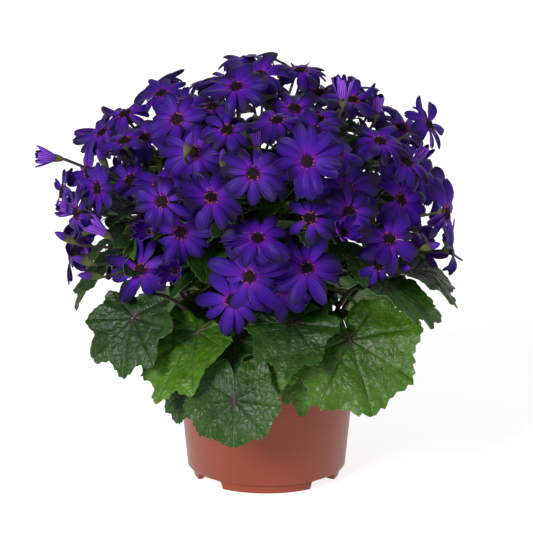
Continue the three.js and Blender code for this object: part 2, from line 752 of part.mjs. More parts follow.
// A lobed blade of even thickness, split into triangles alike on both faces
function bladeSolid(leaf, frame, half, ribs) {
  const flat = [];
  const place = (angle, share) => {
    const basal = Math.abs(angle) > 90 ? leaf.basal : 1;
    const reach = leaf.length * share;
    const u = reach * Math.cos(angle * RADIANS) * basal;
    flat.push([u, reach * Math.sin(angle * RADIANS) * leaf.width]);
    return flat.length - 1;
  };
  const joint = place(0, 0);
  const outline = [];
  for (const [angle, share] of [...half].reverse()) {
    outline.push(place(-angle, share));
  }
  outline.push(place(0, 1));
  for (const [angle, share] of half) {
    outline.push(place(angle, share));
  }
  const inner = [];
  for (const angle of [...ribs].reverse()) {
    inner.push(place(-angle, 0.46));
  }
  inner.push(place(0, 0.56));
  for (const angle of ribs) {
    inner.push(place(angle, 0.46));
  }
  const triangles = [];
  for (let k = 0; k < inner.length - 1; k++) {
    triangles.push([joint, inner[k], inner[k + 1]]);
  }
  triangles.push([joint, outline[0], inner[0]]);
  triangles.push([joint, inner[inner.length - 1], outline[outline.length - 1]]);
  let i = 0;
  let k = 0;
  while (i < outline.length - 1 || k < inner.length - 1) {
    const nextOut = (i + 1) / (outline.length - 1);
    const nextIn = (k + 0.75) / (inner.length - 1);
    if (k >= inner.length - 1 || (i < outline.length - 1 && nextOut <= nextIn)) {
      triangles.push([inner[k], outline[i], outline[i + 1]]);
      i++;
    } else {
      triangles.push([inner[k], outline[i], inner[k + 1]]);
      k++;
    }
  }
  const skin = new Skin();
  const top = [];
  const under = [];
  for (const [u, v] of flat) {
    const point = bladePoint(leaf, frame, u, v);
    const normal = bladeNormal(leaf, frame, u, v);
    top.push(skin.point(point.clone().addScaledVector(normal, BLADE_THICKNESS / 2)));
    under.push(skin.point(point.clone().addScaledVector(normal, -BLADE_THICKNESS / 2)));
  }
  for (const [a, b, c] of triangles) {
    skin.face(top[a], top[b], top[c]);
    skin.face(under[a], under[c], under[b]);
  }
  const edge = [joint, ...outline];
  for (let n = 0; n < edge.length; n++) {
    const from = edge[n];
    const to = edge[(n + 1) % edge.length];
    skin.face(top[from], under[from], under[to]);
    skin.face(top[from], under[to], top[to]);
  }
  return skin.solid();
}

// A leaf on its stalk, which stands in the soil and passes over the pot's rim
function leafSolid(leaf, holes) {
  const frame = bladeFrame(leaf.origin, leaf.heading, leaf.pitch, leaf.roll);
  const [turn, radius] = leaf.root;
  const root = direction(turn, 0).multiplyScalar(radius).setZ(SOIL_TOP - STEM_DEPTH);
  const surface = root.clone().setZ(SOIL_TOP + 2);
  const lift = new THREE.Vector3(0, 0, Math.max(PETIOLE_LIFT, (leaf.origin.z - surface.z) * 0.4));
  const arriveShare = 0.3 + 0.3 * Math.max(0, -frame.along.z);
  const arrive = frame.along.clone().multiplyScalar(-arriveShare * leaf.origin.distanceTo(surface));
  const curve = new THREE.CubicBezierCurve3(
    surface,
    surface.clone().add(lift),
    leaf.origin.clone().add(arrive),
    leaf.origin.clone().addScaledVector(frame.along, 4).addScaledVector(frame.normal, -1.3),
  );
  const path = [root, ...PETIOLE_STEPS.map((t) => curve.getPoint(t))];
  holes.push({ place: root, radius: PETIOLE_RADIUS, sides: PETIOLE_SIDES });
  const petiole = stalk(path, PETIOLE_RADIUS, PETIOLE_RADIUS * PETIOLE_TAPER, PETIOLE_SIDES);
  return { solid: fuse([petiole, bladeSolid(leaf, frame, BLADE_OUTLINE, BLADE_RIBS)]), root };
}

// The flowering stems' roots, tips and outward ways
function makeStems() {
  const stems = [];
  for (const { count, turn, tilt, root, reach, leaf } of STEM_RINGS) {
    for (let k = 0; k < count; k++) {
      const around = turn + (360 * k) / count;
      const outward = direction(around, tilt);
      const tip = outward.clone().multiply(DOME_RADII).multiplyScalar(reach).add(DOME_CENTRE);
      const foot = direction(around, 0).multiplyScalar(root).setZ(SOIL_TOP - STEM_DEPTH);
      stems.push({ outward, tip, foot, heads: [], around, leaf });
    }
  }
  return stems;
}

// Gives each head to the stem whose outward way is nearest, or to the stem that its row names
function shareHeads(stems, heads) {
  for (const head of heads) {
    const way = head.centre.clone().sub(DOME_CENTRE).divide(DOME_RADII).normalize();
    let best = stems[(head.stem ?? 1) - 1];
    for (const stem of head.stem ? [] : stems) {
      if (stem.outward.dot(way) > best.outward.dot(way)) {
        best = stem;
      }
    }
    best.heads.push({ head, nearness: best.outward.dot(way) });
  }
  for (const stem of stems) {
    stem.heads.sort((a, b) => b.nearness - a.nearness);
  }
}

// A flowering stem with its branches, heads and buds, and one small leaf where its ring has them
function spraySolid(stem, draw, holes) {
  const surface = stem.foot.clone().setZ(SOIL_TOP + 2);
  const rise = stem.tip.z - surface.z;
  const curve = new THREE.CubicBezierCurve3(
    surface,
    surface.clone().add(new THREE.Vector3(0, 0, 0.45 * rise)),
    stem.tip.clone().addScaledVector(stem.outward, -0.35 * stem.tip.distanceTo(surface)),
    stem.tip,
  );
  const path = [stem.foot, ...STEM_STEPS.map((t) => curve.getPoint(t))];
  const solids = [stalk(path, STEM_RADIUS, STEM_TIP_RADIUS, STEM_SIDES)];
  holes.push({ place: stem.foot, radius: STEM_RADIUS, sides: STEM_SIDES });
  const count = stem.heads.length;
  stem.heads.forEach(({ head }, index) => {
    const share = index === 0 ? 1 : BRANCH_TOP - (BRANCH_SPAN * index) / count;
    const { point, along } = placeOnPath(path, share);
    const sunk = index === 0 ? point.addScaledVector(along, -STEM_SINK) : point;
    solids.push(headSolid(head, sunk, draw));
  });
  if (stem.leaf) {
    const heading = stem.around + 8 * (draw() - 0.5);
    const [pitch, droop] = stem.leaf;
    const leaf = { length: SMALL_LEAF_LENGTH, width: 1, basal: 1, droop, cup: SMALL_LEAF_CUP };
    const frame = bladeFrame(placeOnPath(path, SMALL_LEAF_PLACE).point, heading, pitch, 0);
    solids.push(bladeSolid(leaf, frame, SMALL_BLADE_OUTLINE, SMALL_BLADE_RIBS));
  }
  return fuse(solids);
}

// A named mesh in its own plain colour, standing at the given place
function named(name, solid, place, colour, roughness) {
  const material = new THREE.MeshStandardMaterial({ color: colour, roughness, metalness: 0 });
  const mesh = new THREE.Mesh(geometryOf(solid, place), material);
  mesh.name = name;
  mesh.position.copy(place);
  return mesh;
}

function buildLeaves(holes) {
  const leaves = new THREE.Group();
  const draw = makeDraw(DRAW_SEED + 1);
  const rows = SEEN_LEAVES.map(([name, at, way, size, bend, root]) => {
    const [heading, pitch, roll] = way;
    const [length, width, basal] = size;
    const [droop, cup] = bend;
    return { name, origin: pointInView(...at), heading, pitch, roll, length, width, basal, droop, cup, root };
  });
  FAR_LEAVES.forEach(([turn, distance, height, length], index) => {
    rows.push({
      name: `leaf_far_${index + 1}`,
      origin: direction(turn, 0).multiplyScalar(distance).setZ(height),
      heading: turn + 16 * (draw() - 0.5),
      pitch: -30 - 20 * draw(),
      roll: 10 * (draw() - 0.5),
      length,
      width: 0.86,
      basal: 0.7,
      droop: 30,
      cup: 14,
      root: [turn, 54],
    });
  });
  for (const row of rows) {
    const { solid, root } = leafSolid(row, holes);
    leaves.add(named(row.name, solid, root, 0x3c6e28, 0.45));
  }
  return leaves;
}

function buildSprays(holes) {
  const sprays = new THREE.Group();
  const draw = makeDraw(DRAW_SEED + 2);
  const stems = makeStems();
  shareHeads(stems, makeHeads());
  stems.forEach((stem, index) => {
    const solid = spraySolid(stem, draw, holes);
    sprays.add(named(`spray_${String(index + 1).padStart(2, "0")}`, solid, stem.foot, 0x4b1fa0, 0.6));
  });
  return sprays;
}

const holes = [];
const leaves = buildLeaves(holes);
const sprays = buildSprays(holes);

const potted = new THREE.Group();
const origin = new THREE.Vector3(0, 0, 0);
potted.add(named("pot", potSolid(), origin, 0x8a4632, 0.4));
potted.add(named("soil", soilSolid(holes), origin, 0x2a1c14, 0.95));

const plant = new THREE.Group();
plant.add(leaves);
plant.add(sprays);

const cineraria = new THREE.Group();
cineraria.add(potted);
cineraria.add(plant);

export default cineraria;
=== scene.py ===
"""A potted cineraria: the fine surfaces of its heads, stems, leaves, soil and pot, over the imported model.

Lengths are in millimetres until make_piece turns them to metres. Turns and tilts are in degrees. The tables
and rules that place each head, stem and large leaf are the model's own, so every fine piece lies where its
solid does. The leaves on the heads' stalks, up the stems and among the heads are added here.
"""

import math
from functools import partial

import bpy
import numpy as np
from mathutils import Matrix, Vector


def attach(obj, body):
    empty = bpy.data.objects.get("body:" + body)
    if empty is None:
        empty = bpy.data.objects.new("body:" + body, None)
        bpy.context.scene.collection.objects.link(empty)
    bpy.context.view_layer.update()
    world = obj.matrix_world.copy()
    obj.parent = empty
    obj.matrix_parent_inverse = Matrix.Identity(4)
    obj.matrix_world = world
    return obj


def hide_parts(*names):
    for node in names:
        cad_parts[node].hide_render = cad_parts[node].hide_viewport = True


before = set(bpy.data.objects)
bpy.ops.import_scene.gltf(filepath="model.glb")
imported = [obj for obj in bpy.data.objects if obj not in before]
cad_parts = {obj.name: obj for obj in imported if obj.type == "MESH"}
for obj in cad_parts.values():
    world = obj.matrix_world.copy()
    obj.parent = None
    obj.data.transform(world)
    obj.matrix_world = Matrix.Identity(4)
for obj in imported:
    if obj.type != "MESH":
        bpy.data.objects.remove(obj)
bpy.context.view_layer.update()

MM = 0.001

# Pot
POT_HEIGHT = 112
RIM_RADIUS = 76.5
RIM_LIP_HEIGHT = 6
WALL_TOP_RADIUS = 74.3
WALL_BOTTOM_RADIUS = 65
WALL_THICKNESS = 1.4
FOOT_RADIUS = 60
FOOT_WIDTH = 3.5
FOOT_HEIGHT = 7.5
FOOT_FLARE = 0.8
SHELF_RISE = 0.6
BASE_UNDERSIDE = 1.5
FLOOR_TOP = 3
NOTCH_MIDDLES = (51.5, 128.5, 231.5, 308.5)
NOTCH_WIDTH = 30
NOTCH_HEIGHT = 6.3
NOTCH_INNER_RADIUS = 51
ARCH_WALL = 1.5
DRAIN_COUNT = 6
DRAIN_RADIUS = 4
DRAIN_RING = 34
DRAIN_INNER_RING = 26
DRAIN_OUTER_RING = 43
POT_STEPS = 240

# Soil
SOIL_TOP = 100
SOIL_EDGE_RADIUS = 71.6
SOIL_BOTTOM = 3.3
STEM_DEPTH = 9
SOIL_STEPS = 90
SOIL_RINGS = (3, 9, 16, 24, 32, 40, 48, 54, 60, 65, 69, SOIL_EDGE_RADIUS)
SOIL_SIDE = (
    (SOIL_EDGE_RADIUS, 97.5), (62.6, 12), (48.8, 10),
    (48.8, SOIL_BOTTOM), (24, SOIL_BOTTOM), (3, SOIL_BOTTOM),
)
CRUMB_COUNT = 420
CRUMB_SIZES = (0.7, 2.4)

# Dome that the flower heads sit on
DOME_CENTRE = np.array([-7.0, 0.0, 212.0])
DOME_RADII = np.array([158.0, 150.0, 120.0])
DOME_FLOOR = 176
LATTICE_POINTS = 150
LATTICE_GAP = 37
LATTICE_FRONT = -85
LATTICE_SIZE = 50
LATTICE_SIZE_SPREAD = 8
LATTICE_TILT = 14
LATTICE_TILTS = (4, 80)
LATTICE_TURN_SPREAD = 24

# The picture's view
VIEW_DISTANCE = 1800
VIEW_HEIGHT = 580
VIEW_AIM_HEIGHT = 173.5
VIEW_FOCAL_PIXELS = 2271.6
VIEW_MIDDLE_PIXEL = 266.5
VIEW_PIXELS = 533
VIEW_PLACE = np.array([0.0, -VIEW_DISTANCE, VIEW_HEIGHT])
VIEW_PITCH = math.atan2(VIEW_HEIGHT - VIEW_AIM_HEIGHT, VIEW_DISTANCE)
SENSOR_WIDTH = 36

# Stage: half the floor's width in metres, and each lamp's name, the way to it, its width and its strength.
# The key light comes over the left shoulder, and the others are broad and weak
FLOOR_HALF_SIZE = 60.0
FLOOR_GLOW = 0.82
SURROUND_STRENGTH = 0.3
LAMPS = (
    ("key_light", (-0.75, -1.2, 0.72), 16, 3.1),
    ("fill_light", (1.3, -1.0, 0.6), 50, 0.3),
    ("back_light", (0.4, 1.2, 0.5), 60, 0.6),
)

# The setting that a node's mode is, by the node's type
NODE_MODES = {"Math": "operation", "VectorMath": "operation", "Mix": "data_type", "TexVoronoi": "feature"}

# Flower heads
DISC_RADIUS = 5.2
HALF_OPEN_DISC_RADIUS = 3
DISC_RISE = 2.2
CALYX_LENGTH = 8
CALYX_DEPTH = 8.4
HALF_OPEN_CALYX_RADIUS = 3.1
PEDICEL_RADIUS = 1.1
MANY_PETALS = 7
FEW_PETALS = 6
LARGE_HEAD = 48
HALF_OPEN_PETALS = 5
BUD_OPENNESS = 0.3
SETTLE_PASSES = 100
SETTLE_OUT = 0.22
SETTLE_IN = 0.28
SETTLE_LEAN = 3
SETTLE_SAMPLES = 24
SETTLE_INNER_RING = 0.6
OPEN_HEAD_ROOM = 3.4
BUD_ROOM = 7
FLORET_COUNT = 48
HALF_OPEN_FLORET_COUNT = 16
FLORET_LEVELS = np.array([0, 0.62, 0.86, 1])[:, None]
FLORET_SPREAD = np.array([0.7, 0.8, 1.25, 0.6])[:, None]
GOLDEN_ANGLE = 137.5

# Petals: the rows and columns of their grid, the shares that shape them, and how many a head has, from the
# least to one over the most
PETAL_ROWS = np.array([0, 0.1, 0.26, 0.44, 0.62, 0.78, 0.91, 1.0])
PETAL_COLUMNS = np.array([-1, -0.55, 0, 0.55, 1])
PETAL_HALF_THICKNESS = 0.16
PETAL_RISE = 0.5
PETAL_BASE = 0.36
PETAL_WIDEST = 0.62
PETAL_TIP_FALL = 0.965
PETAL_NOTCH = 0.022
LARGE_HEAD_PETALS = (11, 14)
SMALL_HEAD_PETALS = (10, 12)
LOST_PETALS = 0.03
CURLED_PETALS = 0.13
QUILL_COUNT = 10
QUILL_WIDTH = 4.6
BUD_RADIUS = 2.7

# Stems and leaves
STEM_RADIUS = 2.8
STEM_TIP_RADIUS = 1.9
STEM_SINK = 2.5
STEM_STEPS = (0, 0.3, 0.62, 1)
STEM_LIFT = 0.45
STEM_ARRIVAL = 0.35
UPRIGHT_LENGTH = STEM_DEPTH + 2
STEM_LEAF_COUNT = 12
BRANCH_TOP = 0.97
BRANCH_SPAN = 0.45
PETIOLE_RADIUS = 1.9
PETIOLE_TAPER = 0.75
PETIOLE_LIFT = 28
BLADE_HALF_THICKNESS = 0.3
TOOTH_ANGLE = 8.4
TOOTH_DEPTH = 0.055
EDGE_WAVE = 0.036
VEIN_SLANT = 0.85
SMALL_LEAF_PLACE = 0.52
SMALL_LEAF_LENGTH = 54
SMALL_LEAF_WIDTH = 0.35
SMALL_LEAF_CUP = 14
INNER_REACH = 0.86
BRACT_REACH = 0.95
INNER_FLOOR = 122
DRAW_SEED = 41

# Open heads in view: column, row, diameter, turn and tilt, and the stem where it isn't the nearest one
SEEN_HEADS = [
    (135, 269, 56, -15, 12),
    (248, 271, 62, 0, 14),
    (283, 285, 54, 5, 8),
    (231, 302, 54, -8, 4),
    (308, 266, 60, 6, 32),
    (258, 234, 58, 0, 52),
    (253, 176, 50, -2, 16, 8),
    (307, 170, 56, 4, 16),
    (347, 177, 56, 8, 26),
    (180, 218, 56, -10, 14),
    (158, 174, 60, -18, 60, 7),
    (133, 204, 48, -40, 28),
    (147, 131, 58, -25, 62),
    (198, 151, 54, -10, 24),
    (207, 119, 56, -14, 62),
    (235, 100, 56, -6, 58, 14),
    (260, 82, 56, 0, 62),
    (294, 108, 52, 6, 56),
    (276, 128, 50, 0, 66),
    (323, 83, 52, 10, 66),
    (378, 137, 52, 20, 60),
    (400, 123, 56, 32, 52),
    (336, 142, 54, 12, 70),
    (388, 238, 54, 18, 30),
    (380, 262, 38, 14, 8),
    (405, 195, 54, 45, 20),
    (429, 172, 54, 50, 40),
    (441, 214, 56, 62, 5),
    (97, 135, 51, -60, 50),
    (76, 172, 54, -62, 0),
    (100, 190, 46, -50, 10),
    (212, 196, 56, 10, 40),
    (178, 130, 48, -15, 30),
    (163, 203, 46, -10, 20, 7),
    (272, 160, 50, 0, 40),
    (352, 104, 50, 20, 65),
    (357, 88, 46, 35, 50, 15),
    (350, 213, 50, 10, 20, 8),
    (425, 128, 50, 60, 30),
    (184, 100, 48, -30, 60),
    (300, 72, 50, 0, 76),
    (345, 78, 46, 15, 72),
    (225, 80, 50, -6, 72),
    (162, 96, 48, -25, 66),
    (126, 114, 46, -45, 60),
    (376, 99, 46, 35, 60),
    (228, 140, 46, -5, 50),
    (314, 130, 46, 5, 60),
    (120, 166, 46, -35, 44),
    (62, 190, 44, -75, 10),
    (84, 214, 44, -60, 0),
    (405, 155, 46, 40, 50, 2),
    (452, 186, 46, 76, 20),
    (308, 212, 44, 4, 36),
    (212, 109, 40, -10, 64),
    (126, 145, 40, -30, 64),
    (319, 122, 44, 8, 60, 15),
]

# Half-open heads and closed buds in view: column, row, length, turn, tilt, openness, and the stem as above
SEEN_BUDS = [
    (68, 160, 18, -80, 10, 0.6),
    (102, 233, 22, -60, 40, 0.5),
    (146, 231, 18, -20, 20, 0.8),
    (172, 272, 22, -10, 10, 0.8),
    (344, 231, 22, 12, 20, 0.8, 8),
    (75, 210, 20, -70, 10, 0.4),
    (70, 240, 14, -75, 30, 0),
    (97, 276, 16, -60, 10, 0.2),
    (306, 299, 16, 0, 40, 0.3),
    (403, 268, 16, 30, 10, 0.3),
    (209, 197, 20, -10, 60, 0.4, 1),
    (187, 154, 16, 30, 60, 0.2),
    (222, 168, 14, 0, 60, 0),
    (257, 140, 18, 0, 80, 0.4, 8),
    (298, 192, 13, 0, 70, 0),
    (114, 142, 18, -50, 60, 0.3),
    (175, 121, 14, -10, 70, 0.1),
    (103, 152, 14, -50, 60, 0),
    (342, 108, 20, 0, 80, 0.6, 15),
    (376, 110, 16, 20, 70, 0.4),
    (427, 147, 18, 60, 50, 0.4, 10),
    (88, 262, 12, -80, 20, 0),
    (430, 247, 12, 60, 20, 0),
]

# Rings of flowering stems: count, first turn, tilt on the dome, radius in the soil, reach, and the pitch and
# droop of the small leaf where there is one
STEM_RINGS = [
    (7, 0, 4, 33, 0.58, (12, -10)),
    (7, 25.7, 42, 20, 0.6, (50, 90)),
    (3, 60, 76, 8, 0.62, None),
]

# Leaves among the heads that the picture shows: stem, column, row and depth of the base, heading, pitch and
# roll, length and half width as a share of it, droop and cup, and how light a green
INNER_LEAVES = [
    (14, (196, 232, -84), (30, -46, -10), (42, 0.42), (34, 22), 0.1),
    (14, (205, 262, -70), (-62, -24, 0), (40, 0.4), (30, 20), 0.05),
    (8, (296, 214, -92), (56, -36, 10), (40, 0.4), (30, 24), 0.12),
    (8, (352, 246, -74), (34, -40, 0), (36, 0.36), (36, 18), 0.2),
    (13, (112, 236, -40), (-74, -36, 0), (34, 0.34), (30, 18), 0.15),
]

# Leaves on a head's own stalk: share of the way up, least and most that they lean out, and the ranges of
# length, half width and how light a green. The second two lie deeper and fill the dome
BRACTS = (
    (0.3, 0.4, 1.6, (24, 36), (0.28, 0.4), (0, 0.25)),
    (0.6, 0.4, 1.3, (14, 24), (0.14, 0.24), (0.1, 0.6)),
    (0.84, 0.3, 0.9, (7, 12), (0.09, 0.14), (0.4, 1)),
)
FILLING_BRACTS = (
    (0.46, 0.4, 1.4, (22, 34), (0.28, 0.4), (0, 0.1)),
    (0.7, 0.3, 1.2, (15, 24), (0.24, 0.34), (0, 0.12)),
)

# Leaves in view: name, column, row and depth of the stalk's end, heading, pitch and roll, length with the
# shares of width and basal lobes, droop and cup, turn and radius in the soil, and how light a green
SEEN_LEAVES = [
    ("leaf_left_front", (133, 318, -96), (-22, -52, 0), (48, 0.86, 0.8), (26, 18), (-52, 54), 0.12),
    ("leaf_light_left", (198, 332, -92), (-46, -34, -6), (64, 0.7, 0.36), (34, 14), (-38, 54), 0.72),
    ("leaf_small_left", (186, 386, -90), (-40, -62, 0), (30, 0.8, 0.6), (20, 10), (-40, 60), 0.25),
    ("leaf_blue_front", (234, 338, -86), (-40, -42, 0), (42, 0.72, 0.36), (20, 12), (-10, 48), 0.05),
    ("leaf_round_front", (234, 400, -123), (-4, -66, 0), (36, 1.15, 1.5), (10, 14), (-8, 60), 0.3),
    ("leaf_light_front", (274, 352, -98), (4, -48, 0), (34, 0.8, 0.6), (20, 12), (2, 50), 0.8),
    ("leaf_dark_front", (292, 322, -104), (-8, -34, 0), (48, 0.86, 0.7), (26, 12), (12, 42), 0.15),
    ("leaf_hanging_front", (299, 355, -88), (12, -80, 20), (48, 0.5, 0.4), (8, -30), (14, 60), 0.75),
    ("leaf_right_front", (350, 339, -98), (22, -46, 20), (62, 0.98, 0.8), (26, 14), (34, 54), 0.5),
    ("leaf_right", (384, 286, -70), (68, -14, 0), (50, 0.8, 0.6), (44, 10), (78, 52), 0.3),
    ("leaf_right_high", (412, 270, -30), (84, -14, 0), (50, 0.9, 0.6), (50, 10), (84, 52), 0.2),
    ("leaf_left_high", (103, 266, -34), (-80, -40, 0), (42, 0.8, 0.6), (30, 10), (-80, 54), 0.1),
]

# Leaves round the sides and back: turn, distance, height, length
FAR_LEAVES = [
    (112, 112, 150, 56),
    (136, 102, 134, 50),
    (158, 112, 152, 60),
    (180, 100, 132, 50),
    (202, 112, 150, 58),
    (224, 102, 134, 52),
    (248, 112, 152, 56),
    (-94, 100, 126, 44),
    (100, 98, 128, 42),
    (72, 86, 120, 40),
    (-70, 84, 122, 38),
]
FAR_LEAF_SHARES = (0.86, 0.7)
FAR_LEAF_BEND = (30, 14)
FAR_LEAF_ROOT = 54
FAR_LEAF_GRID = (12, 17)
SEEN_LEAF_GRID = (16, 25)
FAR_LEAF_GREENS = (0.15, 0.6, 0.3, 0.8, 0.2, 0.45)

# Half of a lobed blade's outline, a little softer than the model's: angle from the midrib and reach as a
# share of the length
BLADE_OUTLINE = [
    (0, 1.0),
    (10, 0.97),
    (21, 0.91),
    (38, 0.98),
    (50, 0.9),
    (61, 0.85),
    (80, 0.92),
    (96, 0.85),
    (108, 0.75),
    (127, 0.78),
    (147, 0.71),
    (165, 0.58),
    (177, 0.4),
]
BLADE_RIBS = (-128, -82, -40, 0, 40, 82, 128)
BLADE_EDGE_ANGLE = 179

# The angles of half a blade at which a lobe's tip and the gap after it lie, in turn
BLADE_SINUSES = (0, 20, 39, 61, 81, 106, 128, 152, 177)

# How deep the picture shows some leaves cut between their lobes, and the others, as a share of the length
LOBING = {"leaf_left_front": 0.12, "leaf_round_front": 0, "leaf_right_front": 0.015, "leaf_light_left": 0.05}
USUAL_LOBING = 0.07


def make_draw(seed):
    """A seeded draw of numbers from 0 to 1, the same one as the model's."""
    state = seed

    def draw():
        nonlocal state
        state = (state * 1664525 + 1013904223) % 4294967296
        return state / 4294967296

    return draw


def direction(turn, tilt):
    """The unit vector at a turn from the front, + to the right, and a tilt up."""
    turn, tilt = math.radians(turn), math.radians(tilt)
    flat = math.cos(tilt)
    return np.array([flat * math.sin(turn), -flat * math.cos(turn), math.sin(tilt)])


def unit(vectors):
    """The vectors at length 1."""
    return vectors / np.maximum(np.linalg.norm(vectors, axis=-1, keepdims=True), 1e-12)


def stacked(*parts):
    """Arrays of one number a point, spread to one shape, as one array of that many numbers a point."""
    return np.stack(np.broadcast_arrays(*parts), axis=-1).astype(float)


def round_angles(count):
    """The angles of even steps round a circle, in radians."""
    return 2 * math.pi * np.arange(count) / count


def round_axis(radius, angle, height):
    """Points at a distance from the pot's axis, an angle from the front in radians and a height."""
    return stacked(radius * np.sin(angle), -radius * np.cos(angle), height)


def from_axes(origin, *parts):
    """The points that lie from an origin by lengths along axes, given as pairs of lengths and axis."""
    return origin + sum(np.asarray(length)[..., None] * axis for length, axis in parts)


def point_in_view(column, row, depth):
    """The point at a depth Y that the picture shows at a column and row."""
    right = (column - VIEW_MIDDLE_PIXEL) / VIEW_FOCAL_PIXELS
    up = (VIEW_MIDDLE_PIXEL - row) / VIEW_FOCAL_PIXELS
    forward = math.cos(VIEW_PITCH) + up * math.sin(VIEW_PITCH)
    ray = np.array([right, forward, up * math.cos(VIEW_PITCH) - math.sin(VIEW_PITCH)])
    return VIEW_PLACE + ray * (depth + VIEW_DISTANCE) / forward


def point_on_dome(column, row):
    """The point of the dome's near side that the picture shows at a column and row, found in five steps."""
    point = point_in_view(column, row, DOME_CENTRE[1] - DOME_RADII[1] * 2 / 3)
    for _ in range(5):
        share = (point - DOME_CENTRE) / DOME_RADII
        depth = -DOME_RADII[1] * math.sqrt(max(0, 1 - share[0] ** 2 - share[2] ** 2))
        point = point_in_view(column, row, depth)
    return point


class Head:
    """One flower head's place, size and axes. Openness 1 is a flat open head, and less is a bud."""

    def __init__(self, centre, normal, size, openness, petals, stem=None):
        across = np.cross([0.0, 0.0, 1.0], normal)
        self.centre = centre
        self.normal = normal
        self.across = unit(across) if across @ across > 1e-6 else np.array([1.0, 0.0, 0.0])
        self.upward = np.cross(normal, self.across)
        self.size = size
        self.openness = openness
        self.open = openness >= 1
        self.petals = petals
        self.radius = size / 2 if self.open else 6 + 8 * openness
        self.room = OPEN_HEAD_ROOM if self.open else BUD_ROOM
        self.stem = stem

    def place(self, out, aside, rise, angle=0.0):
        """Points given by how far out along an angle, aside of it and along the head's own axis they lie."""
        across = out * np.cos(angle) - aside * np.sin(angle)
        upward = out * np.sin(angle) + aside * np.cos(angle)
        return from_axes(self.centre, (across, self.across), (upward, self.upward), (rise, self.normal))


def nearness(a, b):
    """How much nearer the rim of one head comes to the plane of another than it should."""
    angle = round_angles(SETTLE_SAMPLES)
    reach = np.where(np.arange(SETTLE_SAMPLES) % 2 == 0, a.radius, a.radius * SETTLE_INNER_RING)
    rim = np.outer(reach * np.cos(angle), a.across) + np.outer(reach * np.sin(angle), a.upward)
    offset = a.centre + rim - b.centre
    height = offset @ b.normal
    away = np.sqrt(np.maximum(0, (offset * offset).sum(axis=1) - height * height))
    short = np.where(away < b.radius + 1, a.room + b.room - np.abs(height), 0)
    return max(0.0, short.max())


def settle_pair(a, b):
    """Pushes the outer of two heads that touch out and the inner one in, leaning towards the viewer."""
    apart = b.centre - a.centre
    if apart @ apart > (a.radius + b.radius) ** 2:
        return
    depth = max(nearness(a, b), nearness(b, a))
    if depth <= 0:
        return
    outward = unit(a.normal + b.normal)
    sight = unit(VIEW_PLACE - a.centre)
    way = unit(outward + SETTLE_LEAN * max(0.0, outward @ sight) * sight)
    outer, inner = (b, a) if apart @ outward >= 0 else (a, b)
    outer.centre = outer.centre + way * depth * SETTLE_OUT
    inner.centre = inner.centre - way * depth * SETTLE_IN


def settle(heads):
    """Pushes heads apart, pair by pair, until their petals pass clear of each other."""
    for _ in range(SETTLE_PASSES):
        for i, a in enumerate(heads):
            for b in heads[i + 1 :]:
                settle_pair(a, b)


def make_heads():
    """All heads: those in view, then more over the rest of the dome on a spiral lattice."""
    heads = []
    for column, row, size, turn, tilt, *stem in SEEN_HEADS:
        petals = MANY_PETALS if size >= LARGE_HEAD else FEW_PETALS
        heads.append(Head(point_on_dome(column, row), direction(turn, tilt), size, 1, petals, *stem))
    for column, row, size, turn, tilt, openness, *stem in SEEN_BUDS:
        centre = point_on_dome(column, row)
        heads.append(Head(centre, direction(turn, tilt), size, openness, HALF_OPEN_PETALS, *stem))
    draw = make_draw(DRAW_SEED)
    turn_step = 180 * (3 - math.sqrt(5))
    least, most = LATTICE_TILTS
    for k in range(LATTICE_POINTS):
        tilt = math.degrees(math.asin(1 - 2 * (k + 0.5) / LATTICE_POINTS))
        centre = direction(k * turn_step, tilt) * DOME_RADII + DOME_CENTRE
        size = LATTICE_SIZE + LATTICE_SIZE_SPREAD * draw()
        turn = k * turn_step + LATTICE_TURN_SPREAD * (draw() - 0.5)
        lift = min(most, max(least, tilt + LATTICE_TILT + LATTICE_TURN_SPREAD * (draw() - 0.5)))
        nearest = min(np.linalg.norm(head.centre - centre) for head in heads)
        if centre[2] < DOME_FLOOR or centre[1] < LATTICE_FRONT or nearest < LATTICE_GAP:
            continue
        heads.append(Head(centre, direction(turn, lift), size, 1, FEW_PETALS))
    settle(heads)
    return heads


def bezier(a, b, c, d, shares):
    """Points of a cubic curve that leaves a towards b and reaches d from c."""
    t = np.asarray(shares, float)[:, None]
    return (1 - t) ** 3 * a + 3 * (1 - t) ** 2 * t * b + 3 * (1 - t) * t**2 * c + t**3 * d


class Stem:
    """A flowering stem: its path from the soil to its tip, and the heads that it bears."""

    def __init__(self, around, tilt, root, reach, leaf):
        self.around = around
        self.leaf = leaf
        self.outward = direction(around, tilt)
        self.heads = []
        tip = self.outward * DOME_RADII * reach + DOME_CENTRE
        foot = direction(around, 0) * root + [0, 0, SOIL_TOP - STEM_DEPTH]
        surface = foot + [0, 0, UPRIGHT_LENGTH]
        lift = surface + [0, 0, STEM_LIFT * (tip[2] - surface[2])]
        arrive = tip - STEM_ARRIVAL * np.linalg.norm(tip - surface) * self.outward
        self.coarse = np.vstack([foot, bezier(surface, lift, arrive, tip, STEM_STEPS)])
        self.path = np.vstack([foot, bezier(surface, lift, arrive, tip, np.linspace(0, 1, 22))])

    def place(self, share):
        """The place at a share of the model's own coarse path, and the way that it runs there."""
        steps = np.diff(self.coarse, axis=0)
        lengths = np.linalg.norm(steps, axis=1)
        rest = share * lengths.sum()
        k = 0
        while k < len(lengths) - 1 and rest > lengths[k]:
            rest -= lengths[k]
            k += 1
        along = steps[k] / lengths[k]
        return self.coarse[k] + along * min(rest, lengths[k]), along


